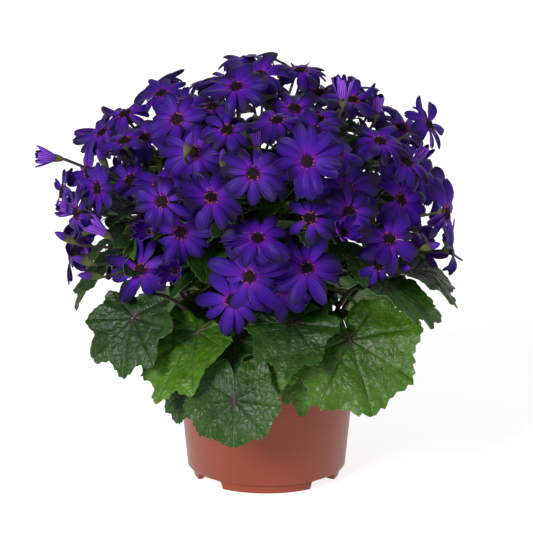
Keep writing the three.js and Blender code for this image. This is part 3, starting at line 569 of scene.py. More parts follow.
def make_stems():
    """The flowering stems, ring by ring, each with the heads that it bears, nearest first."""
    stems = []
    for count, turn, tilt, root, reach, leaf in STEM_RINGS:
        for k in range(count):
            stems.append(Stem(turn + 360 * k / count, tilt, root, reach, leaf))
    for head in make_heads():
        way = unit((head.centre - DOME_CENTRE) / DOME_RADII)
        near = [stem.outward @ way for stem in stems]
        bearer = head.stem - 1 if head.stem else int(np.argmax(near))
        stems[bearer].heads.append((near[bearer], head))
    for stem in stems:
        stem.heads = [head for _, head in sorted(stem.heads, key=lambda pair: -pair[0])]
    return stems


class Shell:
    """Closed surfaces gathered into one mesh, with what each point tells the material."""

    def __init__(self):
        self.points = []
        self.faces = []
        self.place = []
        self.tone = []
        self.count = 0

    def add(self, points, faces, place=(0, 0, 0), tone=(0, 0, 0)):
        """Adds points, faces as index arrays, and two facts of three numbers, for all points or for each."""
        points = points.reshape(-1, 3)
        self.points.append(points)
        self.faces += [np.asarray(face) + self.count for face in faces]
        for rows, fact in ((self.place, place), (self.tone, tone)):
            rows.append(np.broadcast_to(np.reshape(fact, (-1, 3)), points.shape))
        self.count += len(points)


def grid_faces(rows, columns, around=False):
    """The corners of each cell of a grid of points, with the last column joined to the first if around."""
    index = np.arange(rows * columns).reshape(rows, columns)
    here = index if around else index[:, :-1]
    beside = np.roll(index, -1, axis=1) if around else index[:, 1:]
    corners = (here[:-1], beside[:-1], beside[1:], here[1:])
    return np.stack([corner.ravel() for corner in corners], axis=1)


def sheet(shell, middle, half_thickness, first, second, tone):
    """A thin closed sheet: the middle surface moved half its thickness each way along its own normal.

    The normal is the cross product of the grid's steps along its rows and columns. A band round the edge
    joins the two sides. The place that the points hold is the first and second fact, and 0 on the upper side
    or 1 on the lower.
    """
    rows, columns = middle.shape[:2]
    away = half_thickness * unit(np.cross(np.gradient(middle, axis=1), np.gradient(middle, axis=0)))
    cells = grid_faces(rows, columns)
    count = rows * columns
    index = np.arange(count).reshape(rows, columns)
    edge = np.concatenate([index[0, :-1], index[:-1, -1], index[-1, :0:-1], index[:0:-1, 0]])
    following = np.roll(edge, -1)
    band = np.stack([following, following + count, edge + count, edge], axis=1)
    place = np.concatenate([stacked(first, second, side) for side in (0, 1)])
    tone = np.broadcast_to(tone, middle.shape)
    shell.add(
        np.concatenate([middle - away, middle + away]), [cells[:, ::-1], cells + count, band],
        place, np.concatenate([tone, tone]),
    )


def ring_radii(radii, sides, ribs=0, depth=0):
    """The radii of each point of a tube's rings, with cosine ribs round it whose depth is a share of them."""
    wave = np.cos(ribs * round_angles(sides))
    return radii[:, None] * (1 + np.reshape(depth, (-1, 1)) * wave)


def tube(shell, path, radii, place=(0, 0, 0), tone=(0, 0, 0)):
    """A closed stalk: rings of points square to a path, with a point in the middle of each end.

    The rings' first axis is the normal of the plane that the path mostly lies in, made square to the path.
    radii holds one radius for each point of each ring, and place one fact for all rings or for each.
    """
    along = unit(np.gradient(path, axis=0))
    chord = path[-1] - path[0]
    plane = np.cross(chord, [0.0, 0.0, 1.0])
    if plane @ plane < 1e-4 * (chord @ chord):
        plane = np.array([1.0, 0.0, 0.0])
    across = unit(plane - (along @ plane)[:, None] * along)
    other = np.cross(along, across)
    rows, sides = radii.shape
    angle = round_angles(sides)
    ring = np.cos(angle)[:, None] * across[:, None] + np.sin(angle)[:, None] * other[:, None]
    points = (path[:, None] + radii[:, :, None] * ring).reshape(-1, 3)
    first, last = rows * sides, rows * sides + 1
    here = np.arange(sides)
    beside = np.roll(here, -1)
    start = np.stack([np.full(sides, first), beside, here], axis=1)
    end = np.stack([np.full(sides, last), here + first - sides, beside + first - sides], axis=1)
    place = np.broadcast_to(place, (rows, 3))
    place = np.concatenate([np.repeat(place, sides, axis=0), place[:1], place[-1:]])
    points = np.concatenate([points, path[:1], path[-1:]])
    shell.add(points, [grid_faces(rows, sides, around=True), start, end], place, tone)


def add_object(name, data):
    """A new object in the scene, for a mesh, a lamp or a camera."""
    thing = bpy.data.objects.new(name, data)
    bpy.context.scene.collection.objects.link(thing)
    return thing


def make_piece(name, shell, material, nodes, sharp_angle=50, weld=False):
    """Puts a shell into a mesh object that rides on the plant and stands for the given nodes.

    With weld, points that lie within a hundredth of a millimetre of each other become one.
    """
    mesh = bpy.data.meshes.new(name)
    points = np.concatenate(shell.points) * MM
    facts = {"place": np.concatenate(shell.place), "tone": np.concatenate(shell.tone)}
    corners = np.concatenate([face.ravel() for face in shell.faces])
    if weld:
        _, kept, same = np.unique(np.round(points / MM, 2), axis=0, return_index=True, return_inverse=True)
        points, corners = points[kept], same.ravel()[corners]
        facts = {fact: rows[kept] for fact, rows in facts.items()}
    sizes = np.concatenate([np.full(len(face), face.shape[1]) for face in shell.faces])
    mesh.vertices.add(len(points))
    mesh.vertices.foreach_set("co", points.ravel())
    mesh.loops.add(len(corners))
    mesh.loops.foreach_set("vertex_index", corners)
    mesh.polygons.add(len(sizes))
    mesh.polygons.foreach_set("loop_start", np.cumsum(sizes) - sizes)
    mesh.update(calc_edges=True)
    mesh.validate()
    for fact, rows in facts.items():
        mesh.attributes.new(fact, "FLOAT_VECTOR", "POINT").data.foreach_set("vector", rows.ravel())
    mesh.shade_smooth()
    mesh.set_sharp_from_angle(angle=math.radians(sharp_angle))
    mesh.materials.append(material)
    piece = add_object(name, mesh)
    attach(piece, "root")
    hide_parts(*nodes)


def petal(shell, head, angle, base, length, width, lift, curl, roll, bow, fold, tone):
    """One ray petal, long and narrow at its base with a round, slightly notched tip.

    Its middle line starts at a lift over the head's plane and bends by curl over its length: each step of
    the line turns by that share. Its half width grows as a quarter sine to the widest place and ends as a
    quarter ellipse. Across, it is a parabola whose depth is the fold and grows from the base, and the whole
    width is turned by roll. A bow carries its tip sideways.
    """
    v = PETAL_ROWS[:, None]
    u = PETAL_COLUMNS
    slope = lift + curl * (PETAL_ROWS[1:] + PETAL_ROWS[:-1]) / 2
    step = np.diff(PETAL_ROWS) * length
    along, rise = (np.append(0, np.cumsum(step * part(slope)))[:, None] for part in (np.cos, np.sin))
    growing = PETAL_BASE + (1 - PETAL_BASE) * np.sin(math.pi / 2 * np.minimum(v / PETAL_WIDEST, 1)) ** 1.4
    past_widest = np.maximum(v - PETAL_WIDEST, 0) / (1 - PETAL_WIDEST)
    half = width / 2 * growing * np.sqrt(1 - (PETAL_TIP_FALL * past_widest) ** 2)
    swell = np.sin(math.pi / 2 * v)
    cross = fold * half * (u**2 - 0.4) * swell
    side = half * u * np.cos(roll * swell) - cross * np.sin(roll * swell) + bow * v**2 * length
    up = half * u * np.sin(roll * swell) + cross * np.cos(roll * swell)
    notch = PETAL_NOTCH * length * np.cos(2 * math.pi * u) * v**6
    end_slope = lift + curl * v
    out = base + along + notch * np.cos(end_slope) - up * np.sin(end_slope)
    height = PETAL_RISE + rise + notch * np.sin(end_slope) + up * np.cos(end_slope)
    sheet(shell, head.place(out, side, height, angle), PETAL_HALF_THICKNESS, u, v, tone)


def open_petals(shell, head, lift, start, rng):
    """The ray petals of an open head: about 12, shingled like a fan, and no two alike.

    A head draws how far it is cupped and how far its petals arch over with age, the more so near the top of
    the plant, where heads face up. That share also darkens their petals as painted shade. A petal draws its
    place, length, width, fold and turn about these. Some curl far up or down, and a few are lost.
    """
    count = int(rng.integers(*(LARGE_HEAD_PETALS if head.size >= LARGE_HEAD else SMALL_HEAD_PETALS)))
    reach = head.size / 2
    upness = min(max(1.5 * head.normal[2] - 0.3, 0), 1)
    # Heads that face up draw a higher age, which arches their petals and also darkens them: painted shade on
    # up-facing heads
    age_and_shade = max(rng.random() ** 1.5, 0.95 * upness * rng.random() ** 0.4)
    cupped = rng.normal(4, 7)
    arch = math.radians(-12 - 44 * age_and_shade - cupped)
    shingle = math.radians(rng.choice([-1, 1]) * rng.uniform(6, 16))
    for k in range(count):
        if rng.random() < LOST_PETALS:
            continue
        angle = start + 2 * math.pi * (k + 0.5) / count + rng.normal(0, 0.09)
        length = reach * rng.uniform(0.86, 1.08) - DISC_RADIUS * 0.9
        width = reach * 0.42 * rng.uniform(0.7, 1.1)
        own_lift = lift + math.radians(cupped + 4 * age_and_shade + rng.normal(0, 7))
        curl = arch + math.radians(rng.normal(0, 18))
        if rng.random() < CURLED_PETALS:
            curl += math.radians(rng.choice([-60, 65]))
        tone = (rng.random(), age_and_shade, 0)
        fold = rng.choice([-1, 1], p=[0.75, 0.25]) * rng.uniform(0.15, 0.8)
        roll = shingle + math.radians(rng.normal(0, 10))
        bow = rng.normal(0, 0.08)
        petal(shell, head, angle, DISC_RADIUS * 0.8, length, width, own_lift, curl, roll, bow, fold, tone)


def half_open_petals(shell, head, start, rng):
    """The petals of a half-open head: quills rolled in along their length, standing round like a brush."""
    lift = math.radians(88 - 34 * head.openness)
    for k in range(QUILL_COUNT):
        angle = start + 2 * math.pi * (k + 0.5) / QUILL_COUNT + rng.normal(0, 0.06)
        length = head.size * rng.uniform(0.88, 1.0) * 0.92
        curl = math.radians(rng.normal(14, 9))
        tone = (rng.random(), 0.1, 1)
        own_lift = lift + math.radians(rng.normal(0, 4))
        bow = rng.normal(0, 0.05)
        base, fold = HALF_OPEN_DISC_RADIUS, 0.75
        petal(shell, head, angle, base, length, QUILL_WIDTH, own_lift, curl, 0, bow, fold, tone)


def bud_petals(shell, head, rng):
    """The furled petals of a closed bud: a pointed egg with ten pleats, wider low down."""
    t = np.linspace(0, 1, 10)
    path = head.centre + np.outer(head.size * (0.1 + 0.9 * t), head.normal)
    radii = 0.25 + BUD_RADIUS * np.sin(math.pi * (0.18 + 0.82 * t)) ** 0.8
    pleated = ring_radii(radii, 20, 10, 0.09 * np.sin(math.pi * t))
    tube(shell, path, pleated, stacked(0, t, 1), (rng.random(), 0, -0.5))


def disc(shell, head, radius, count, rng):
    """The disc: a low dome with florets set on a spiral, taller and open with pollen towards its edge.

    Floret k of n lies at the radius times the square root of k / n, and each is turned by the golden angle
    from the last. A floret is a five-sided peg with a wider head: four rings at levels of its height, each
    with a share of its radius. It leans outwards.
    """
    t = np.linspace(0, 1, 6)
    dome_rise = DISC_RISE * 0.8
    dome = head.centre + np.outer(dome_rise * np.sin(math.pi / 2 * t) - 0.6, head.normal)
    tube(shell, dome, ring_radii(radius * np.cos(math.pi / 2 * t * 0.96), 18), tone=(rng.random(), 0, 0))
    k = np.arange(count)[:, None, None]
    share = np.sqrt((k + 0.5) / count)
    turn = k * math.radians(GOLDEN_ANGLE) + rng.random() * 6
    height = (1.3 + 0.9 * share + rng.uniform(-0.15, 0.25, share.shape)) * FLORET_LEVELS
    spread = (0.36 + 0.16 * share) * FLORET_SPREAD
    side = round_angles(5)
    out = share * (radius + 0.35 * height) + spread * np.cos(side)
    rise = dome_rise * np.cos(math.pi / 2 * share) - 0.7 + height
    points = head.place(out, spread * np.sin(side), rise, turn)
    place = stacked(share, FLORET_LEVELS, 0 * side)
    faces = [grid_faces(4, 5, around=True), [[15, 16, 17, 18, 19]], [[4, 3, 2, 1, 0]]]
    for n in range(count):
        shell.add(points[n], faces, place[n], (rng.random(), 0, 0))


def calyx(shell, head, top_radius, top, rng):
    """The green cup under a head: a bell with 13 ribs, drawn in to its stalk."""
    t = np.linspace(0, 1, 8)
    path = head.centre + np.outer(-CALYX_DEPTH + (CALYX_DEPTH + top) * t, head.normal)
    bell = np.sin(math.pi / 2 * np.clip(t * 1.25 - 0.2, 0, 1)) ** 0.8
    radii = PEDICEL_RADIUS + (top_radius - PEDICEL_RADIUS) * bell
    ribbed = ring_radii(radii, 26, 13, 0.07 * np.clip(3 * t, 0, 1))
    tube(shell, path, ribbed, stacked(0, t, 0), (rng.random(), 1, 0))


def stalk_of_head(shell, head, foot, along, rng):
    """A head's own stalk: a smooth curve from inside the stem to the calyx, thicker at both ends."""
    end = head.centre - CALYX_LENGTH * head.normal
    reach = np.linalg.norm(end - foot)
    straight = unit(end - foot)
    leave = foot + 0.3 * reach * unit(straight + 0.35 * along)
    arrive = end - 0.26 * reach * unit(straight + 0.55 * head.normal)
    t = np.linspace(0, 1, 15)
    path = bezier(foot, leave, arrive, end, t)
    radii = PEDICEL_RADIUS * (0.95 + 0.35 * (1 - t) ** 3) + 0.25 * t**6
    tube(shell, path, ring_radii(radii, 8), stacked(0, t, 0), (rng.random(), 0, 0))
    return path


def rotated(vector, axis, angle):
    """A vector turned about an axis of length 1 by an angle in degrees."""
    cosine, sine = math.cos(math.radians(angle)), math.sin(math.radians(angle))
    return vector * cosine + np.cross(axis, vector) * sine + axis * (axis @ vector) * (1 - cosine)


class Blade:
    """The bent surface of a leaf: it droops round an axis across it and cups round its midrib."""

    def __init__(self, origin, way, size, bend):
        heading, pitch, roll = way
        self.origin = origin
        self.along = direction(heading, pitch)
        self.normal = rotated(direction(heading, pitch + 90), self.along, roll)
        self.side = np.cross(self.normal, self.along)
        self.length, self.width, self.basal = size
        self.droop, self.cup = (math.radians(angle) / self.length for angle in bend)
        self.tip = self.place(self.length, 0, 0)
        self.reach = np.linalg.norm((self.tip - DOME_CENTRE) / DOME_RADII)

    def place(self, u, v, rise):
        """Points from u along the midrib, v to the side and a rise over the blade.

        The midrib is an arc of curvature droop, and each line across it an arc of curvature cup.
        """
        turned = self.droop * u
        side = np.sin(self.cup * v) / self.cup
        over = (1 - np.cos(self.cup * v)) / self.cup + rise
        along = np.sin(turned) / self.droop + over * np.sin(turned)
        up = (np.cos(turned) - 1) / self.droop + over * np.cos(turned)
        return from_axes(self.origin, (along, self.along), (side, self.side), (up, self.normal))


def way_of(vector):
    """The turn and tilt of a vector, in degrees."""
    x, y, z = unit(np.asarray(vector, float))
    return math.degrees(math.atan2(x, -y)), math.degrees(math.asin(z))


def smooth_noise(x, y, seed):
    """A soft random field of about -1 to 1: the sum of six waves whose ways and starts come from a seed."""
    rng = np.random.default_rng(seed)
    total = 0
    for _ in range(6):
        way = rng.uniform(0, 2 * math.pi)
        pace = rng.uniform(0.7, 1.6)
        total = total + np.sin(pace * (x * math.cos(way) + y * math.sin(way)) + rng.uniform(0, 2 * math.pi))
    return total / 3.2


def vein_field(u, v, ribs, spacing):
    """Distance to the nearest main rib and the phase of the side veins, for flat points of a blade.

    A side vein leaves its rib slantwise, so its phase is the way along the rib less a share of the distance
    from the rib, in spacings. It is whole at a vein.
    """
    reach = np.hypot(u, v)
    angle = np.degrees(np.arctan2(v, u))
    nearest = np.radians(np.minimum(np.abs(angle[..., None] - ribs).min(axis=-1), 90))
    from_rib = reach * np.sin(nearest)
    return from_rib, (reach * np.cos(nearest) - VEIN_SLANT * from_rib) / spacing


def pucker(u, v, from_rib, phase, length, seed):
    """The quilted rise of a blade: swollen between the veins, pinched at the side veins, sunk at the ribs."""
    between = np.abs(np.sin(math.pi * phase))
    clear = 1 - np.exp(-from_rib / 3.2)
    bumps = smooth_noise(u / 2.6, v / 2.6, seed)
    waves = smooth_noise(u / 7, v / 7, seed + 1)
    fade = np.clip(np.hypot(u, v) / (0.16 * length), 0, 1)
    quilt = (0.45 * between + 0.45 * bumps + 1.1 * waves) * clear * fade
    groove = np.exp(-((from_rib / 1.3) ** 2)) * fade
    return length / 52 * (1.2 * quilt - 0.6 * groove)


def blade_sheet(shell, blade, u, v, from_rib, phase, wave, seed, lightness):
    """A blade as a thin sheet: its flat points given their puckers and a wave, and bent."""
    rise = pucker(u, v, from_rib, phase, blade.length, seed) + wave
    sheet(shell, blade.place(u, v, rise), BLADE_HALF_THICKNESS, from_rib, phase, stacked(u, v, lightness))


def lobed_blade(shell, blade, columns, rows, seed, lightness, lobing):
    """A lobed, toothed blade on a fan of lines from the stalk's end.

    The reach at an angle is the outline's, joined half by straight lines and half by half cosines, and cut in
    between the lobes by a cosine as deep as the lobing. The teeth rise fast and fall slowly. Rows are closer
    near the edge, which a wave lifts and lowers.
    """
    edges = [-BLADE_EDGE_ANGLE, *BLADE_RIBS, BLADE_EDGE_ANGLE]
    fan = [np.linspace(a, b, columns, endpoint=False) for a, b in zip(edges[:-1], edges[1:])]
    angle = np.append(np.concatenate(fan), BLADE_EDGE_ANGLE)
    off = np.abs(angle)
    knots, reaches = np.array(BLADE_OUTLINE, float).T
    k = np.clip(np.searchsorted(knots, off, side="right") - 1, 0, len(knots) - 2)
    share = (off - knots[k]) / (knots[k + 1] - knots[k])
    soft = (1 - np.cos(math.pi * share)) / 2
    reach = reaches[k] + (reaches[k + 1] - reaches[k]) * (soft + share) / 2
    tooth = (off / TOOTH_ANGLE + 0.3 * smooth_noise(angle / 9, 0, seed)) % 1
    point = np.where(tooth < 0.25, tooth / 0.25, (1 - tooth) / 0.75) ** 0.8
    lobe = np.interp(off, BLADE_SINUSES, np.arange(len(BLADE_SINUSES)) / 2)
    reach = reach * (1 - lobing * (1 - np.cos(2 * math.pi * lobe)) / 2)
    reach = reach * (0.98 + TOOTH_DEPTH * point + 0.035 * smooth_noise(angle / 16, 3, seed))
    t = np.linspace(0.03, 1, rows)[:, None] ** 0.92
    radians = np.radians(angle)
    u = blade.length * t * reach * np.cos(radians) * np.where(off > 90, blade.basal, 1)
    v = blade.length * t * reach * np.sin(radians) * blade.width
    ribs = np.radians(BLADE_RIBS)
    flat_ribs = np.degrees(np.arctan2(np.sin(ribs) * blade.width, np.cos(ribs)))
    from_rib, phase = vein_field(u, v, flat_ribs, 0.135 * blade.length)
    wave = np.sin(radians * 5 + seed) + 0.6 * np.sin(radians * 13 + 2 * seed)
    blade_sheet(shell, blade, u, v, from_rib, phase, EDGE_WAVE * blade.length * wave * t**4, seed, lightness)


def strap_blade(shell, blade, rows, columns, seed, lightness, widest=0.58, teeth=0.05):
    """A narrow blade: its half width rises as a sine to its widest place and falls to the tip, with teeth."""
    t = np.linspace(0, 1, rows)[:, None]
    rising = np.sin(math.pi / 2 * np.minimum(t / widest, 1)) ** 1.2
    falling = np.cos(math.pi / 2 * np.clip((t - widest) / (1 - widest), 0, 1)) ** 0.8
    half = blade.width * blade.length * (0.03 + 0.97 * rising * falling)
    half = half * (1 + teeth * (2 * ((t * 9) % 1) - 1))
    u = blade.length * t
    v = half * np.linspace(-1, 1, columns)
    phase = (u - VEIN_SLANT * np.abs(v)) / (0.12 * blade.length)
    blade_sheet(shell, blade, u, v, np.abs(v), phase, 0, seed, lightness)


def bracts(shell, path, kinds, rng):
    """The leaves of a head's stalk, one of each kind, bent over and turned any way about the stalk."""
    for share, least, most, lengths, widths, lightness in kinds:
        k = int(share * (len(path) - 1))
        along = unit(path[k] - path[k - 1])
        beside = unit(np.cross(along, rng.normal(size=3)))
        heading, pitch = way_of(along + rng.uniform(least, most) * beside)
        size = (rng.uniform(*lengths), rng.uniform(*widths), 1)
        blade = Blade(path[k], (heading, pitch, rng.uniform(-40, 40)), size, (rng.uniform(20, 80), 30))
        if blade.reach < BRACT_REACH:
            strap_blade(shell, blade, 9, 5, int(rng.integers(0, 99)), rng.uniform(*lightness), teeth=0)


def stem_leaves(shell, stem, rng):
    """The leaves up a flowering stem, smaller towards its top, that stay inside the dome of heads."""
    for step, share in enumerate(np.linspace(0.3, 0.98, STEM_LEAF_COUNT)):
        heading = stem.around + GOLDEN_ANGLE * step + rng.uniform(-20, 20)
        pitch = rng.uniform(5, 55)
        size = (62 - 26 * share + rng.uniform(-5, 5), rng.uniform(0.3, 0.42), 1)
        way = (heading, pitch, rng.uniform(-20, 20))
        blade = Blade(stem.place(share)[0], way, size, (rng.uniform(20, 80), 20))
        if blade.reach < INNER_REACH and blade.tip[2] > INNER_FLOOR:
            strap_blade(shell, blade, 13, 7, step + int(stem.around), rng.uniform(0, 0.3))


def leaf_stalk(shell, blade, root, lightness):
    """A leaf's stalk: up out of the soil, over the pot's rim and into the blade, as the model's runs.

    Its place keeps it clear of a blade's ribs, and its side of 2 tells it from a blade.
    """
    surface = root + [0, 0, UPRIGHT_LENGTH]
    lift = surface + [0, 0, max(PETIOLE_LIFT, (blade.origin[2] - surface[2]) * 0.4)]
    arrive_share = 0.3 + 0.3 * max(0, -blade.along[2])
    arrive = blade.origin - arrive_share * np.linalg.norm(blade.origin - surface) * blade.along
    end = blade.origin + 3 * blade.along - 0.8 * blade.normal
    path = np.vstack([root, bezier(surface, lift, arrive, end, np.linspace(0, 1, 20))])
    t = np.linspace(0, 1, len(path))
    radii = ring_radii(PETIOLE_RADIUS * (1 - (1 - PETIOLE_TAPER) * t), 10, 5, 0.05)
    tube(shell, path, radii, stacked(99, t, 2), (0, 0, lightness))


def to_linear(colour):
    """An sRGB hex colour such as #4B1FA0 as linear red, green, blue and alpha 1."""
    parts = [int(colour[k : k + 2], 16) / 255 for k in (1, 3, 5)]
    return (*[p / 12.92 if p <= 0.04045 else ((p + 0.055) / 1.055) ** 2.4 for p in parts], 1.0)


def feed(tree, socket, value):
    """Gives an input a number, an sRGB hex colour, an output, or a node, whose first live output it takes."""
    if isinstance(value, str):
        value = to_linear(value)
    elif isinstance(value, bpy.types.Node):
        value = next(output for output in value.outputs if output.enabled)
    if isinstance(value, bpy.types.NodeSocket):
        tree.links.new(value, socket)
    else:
        socket.default_value = value


def feed_named(tree, node, values):
    """Feeds a node's inputs by their names, with _ for a space."""
    for key, value in values.items():
        feed(tree, node.inputs[key.replace("_", " ")], value)


def add_node(tree, kind, *inputs, stops=(), **settings):
    """Adds a node, feeds its live inputs in turn or by name, and sets its settings and a ramp's stops.

    The kind may name a mode after a colon, such as a Math node's operation. A stop is a place and a colour.
    """
    kind, _, mode = kind.partition(":")
    node = tree.nodes.new("ShaderNode" + kind)
    if mode:
        setattr(node, NODE_MODES[kind], mode)
    for key in [key for key in settings if hasattr(node, key)]:
        setattr(node, key, settings.pop(key))
    for socket, value in zip([socket for socket in node.inputs if socket.enabled], inputs):
        feed(tree, socket, value)
    feed_named(tree, node, settings)
    for _ in stops[2:]:
        node.color_ramp.elements.new(1.0)
    for k, (place, colour) in enumerate(stops):
        node.color_ramp.elements[k].position = place
        node.color_ramp.elements[k].color = to_linear(colour)
    return node


def start_material(name):
    """A new material, and the function that adds nodes to it."""
    material = bpy.data.materials.new(name)
    material.use_nodes = True
    return material, partial(add_node, material.node_tree)


def finish_material(material, **inputs):
    """Feeds the inputs of the material's shader by their names."""
    feed_named(material.node_tree, material.node_tree.nodes["Principled BSDF"], inputs)
    return material


def point_facts(node):
    """What the mesh's points hold for the material: three numbers of their place and three of their tone."""
    facts = []
    for name in ("place", "tone"):
        facts += node("SeparateXYZ", node("Attribute", attribute_name=name).outputs["Vector"]).outputs
    return facts


def ray_petal_material():
    """Living ray petal: a thin violet sheet of tiny domed cells, which give it a soft satin sheen.

    Lines of veins run along it, and it glows magenta at its base. Age browns its tip and edges, and the same
    share paints shade onto the petals of up-facing heads. Mottling of 6 mm deepens it, and its underside is
    paler and striped.
    """
    material, node = start_material("ray_petal_satin")
    across, along, side, own, age_and_shade, furled = point_facts(node)
    mottle = node("TexNoise", node("TexCoord").outputs["Object"], Scale=160, Detail=3)
    off = node("Math:ABSOLUTE", across)
    veins = node("Math:SINE", node("Math:MULTIPLY", across, 14))
    lines = node("Math:MULTIPLY_ADD", veins, 0.15, 0.15)
    ends = node("Math:MULTIPLY_ADD", node("Math:POWER", off, 3), 0.5, node("MapRange", along, 0.2, 1))
    # Browns the tip and edges by chance and by age. Through age it is also painted shade on up-facing heads,
    # and so is the dark rim below
    wear_and_shade = node("Math:MULTIPLY_ADD", node("Math:POWER", own, 2), 1.1, node("Math:MULTIPLY", age_and_shade, 0.72))
    rim = node("Math:MAXIMUM", node("Math:POWER", off, 5), node("Math:POWER", along, 9))
    tints = (
        (lines, "#1E0858"),
        (node("Math:MULTIPLY", wear_and_shade, ends), "#1C0E1C"),
        (node("Math:MULTIPLY", rim, node("Math:MULTIPLY_ADD", age_and_shade, 0.35, 0.35)), "#140A26"),
        (node("Math:MULTIPLY", mottle, 0.3), "#200A60"),
        (node("Math:MULTIPLY_ADD", own, -0.4, 0.4), "#1A0850"),
    )
    stops = ((0, "#8A12B0"), (0.18, "#6414A8"), (0.42, "#4810A4"), (0.72, "#3E0E94"), (1, "#280A5A"))
    upper = node("ValToRGB", along, stops=stops)
    for share, tint in tints:
        upper = node("Mix:RGBA", share, upper, tint)
    stripes = node("Math:SINE", node("Math:MULTIPLY", across, 9))
    lower = node("Mix:RGBA", node("Math:MULTIPLY_ADD", stripes, 0.5, 0.5), "#9C58DC", "#4A1C94")
    lower = node("Mix:RGBA", node("Math:MULTIPLY_ADD", furled, -0.5, 0.5), lower, "#2A1070")
    height = node("Math:MULTIPLY_ADD", mottle, 0.6, node("Math:MULTIPLY", veins, 0.5))
    return finish_material(
        material, Base_Color=node("Mix:RGBA", side, upper, lower), Roughness=0.5, Specular_IOR_Level=0.12,
        Sheen_Weight=0.06, Sheen_Roughness=0.3, Sheen_Tint="#6E5870",
        Normal=node("Bump", Height=height, Distance=0.12 * MM),
    )


def disc_material():
    """Disc florets: closed ones near black, and open ones with orange pollen in 1 mm grains on their tops."""
    material, node = start_material("disc_florets_pollen")
    outward, up, _, own, _, _ = point_facts(node)
    ripe = node("Math:GREATER_THAN", node("Math:MULTIPLY_ADD", own, 0.9, outward), 1.48)
    dusted = node("Math:MULTIPLY", ripe, node("Math:GREATER_THAN", up, 0.7))
    body = node("Mix:RGBA", own, "#0E060C", "#26121A")
    pollen = node("Mix:RGBA", own, "#2E180A", "#94560E")
    grain = node("TexNoise", node("TexCoord").outputs["Object"], Scale=900, Detail=2)
    return finish_material(
        material, Base_Color=node("Mix:RGBA", dusted, body, pollen), Roughness=0.75, Specular_IOR_Level=0.2,
        Normal=node("Bump", Height=grain, Distance=0.15 * MM),
    )


def stem_material():
    """Downy stems: green flushed in 22 mm patches with dark purple, paler and yellower on the calyx.

    The down is drawn as a faint sheen over a bump of 0.7 mm.
    """
    material, node = start_material("downy_stem")
    _, along, _, _, cup, _ = point_facts(node)
    place = node("TexCoord").outputs["Object"]
    flush = node("TexNoise", place, Scale=45, Detail=3)
    down = node("TexNoise", place, Scale=1400, Detail=1)
    stalk = node("ValToRGB", flush, stops=((0.3, "#241420"), (0.5, "#302226"), (0.72, "#3E4628")))
    bell_stops = ((0, "#383420"), (0.45, "#58622E"), (0.8, "#4A4A2A"), (1, "#2A1830"))
    bell = node("ValToRGB", along, stops=bell_stops)
    return finish_material(
        material, Base_Color=node("Mix:RGBA", cup, stalk, bell), Roughness=0.6, IOR=1.42,
        Sheen_Weight=0.08, Sheen_Tint="#B8B49C", Normal=node("Bump", Height=down, Distance=0.1 * MM),
    )


def leaf_material():
    """Living leaf: a waxy cuticle over a puckered blade, glossy above and dull and paler below.

    Its patterns lie on the flat blade, in millimetres: a net of cells 5 mm wide, painted darker towards their
    sunken edges as shade, with crumples of 2 mm, dark patches of 6 mm painted as the shade of hollows, and
    patches of 14 mm. A sway of 8 mm bends the side veins. The margin is lighter, and the veins and the blade
    redden towards the stalk.
    """
    material, node = start_material("waxy_puckered_leaf")
    from_rib, phase, side, u, v, lightness = point_facts(node)
    flat = node("CombineXYZ", u, v, lightness)
    sway = node("TexNoise", flat, Scale=0.12, Detail=2)
    bent = node("VectorMath:MULTIPLY_ADD", sway.outputs["Color"], (5, 5, 0), flat)
    cell, crumple = (
        node("Math:MULTIPLY", node("TexVoronoi:DISTANCE_TO_EDGE", bent, Scale=scale), 2.2, use_clamp=True)
        for scale in (0.2, 0.55)
    )
    ridge = node("Math:PINGPONG", node("Math:MULTIPLY_ADD", sway, 0.9, phase), 0.5)
    line = node("Math:MULTIPLY_ADD", ridge, -8, 1, use_clamp=True)
    rib = node("Math:MULTIPLY_ADD", from_rib, -1.2, 1, use_clamp=True)
    veins = node("Math:MAXIMUM", rib, node("Math:MULTIPLY", line, 0.4))
    reach = node("VectorMath:LENGTH", node("CombineXYZ", u, v))
    near_stalk = node("Math:MULTIPLY_ADD", reach, -1 / 22, 1, use_clamp=True)
    patches = node("TexNoise", flat, Scale=0.07, Detail=3)
    deep = node("Mix:RGBA", patches, "#061206", "#183A0A")
    bright = node("Mix:RGBA", patches, "#2C5E08", "#5C9210")
    colour = node("Mix:RGBA", lightness, deep, bright)
    tints = (
        # Darker towards each cell's sunken edge: painted shade in the grooves of the quilt
        (node("Math:MULTIPLY_ADD", cell, -0.5, 0.5), "#0C220A"),
        # Dark patches of 6 mm noise: painted shade, as of hollows in the blade
        (node("MapRange", node("TexNoise", flat, Scale=0.16, Detail=2), 0.42, 0.68, 0, 0.6), "#0A1E08"),
        (node("MapRange", reach, 16, 60, 0, 0.36), node("Mix:RGBA", lightness, "#2C5C14", "#6C9C1C")),
        (
            node("Math:MULTIPLY", veins, 0.7),
            node("Mix:RGBA", near_stalk, node("Mix:RGBA", lightness, "#16300E", "#4A6A1C"), "#301824"),
        ),
        (node("Math:MULTIPLY", node("Math:POWER", near_stalk, 6), 0.8), "#341C2C"),
        (side, node("Mix:RGBA", veins, "#4E7038", "#7E9054")),
        (node("Math:GREATER_THAN", side, 1.5), node("Mix:RGBA", lightness, "#3A2230", "#5A5A30")),
    )
    for share, tint in tints:
        colour = node("Mix:RGBA", share, colour, tint)
    rough = node("Math:MULTIPLY_ADD", sway, 0.34, node("MapRange", side, 0, 1, 0.27, 0.57))
    lumps = 0
    for part, height in ((ridge, 0.5), (veins, -0.6), (cell, 0.9), (crumple, 0.1)):
        lumps = node("Math:MULTIPLY_ADD", part, height, lumps)
    return finish_material(
        material, Base_Color=colour, Roughness=rough, Specular_IOR_Level=0.3,
        Normal=node("Bump", Height=lumps, Distance=0.5 * MM),
    )


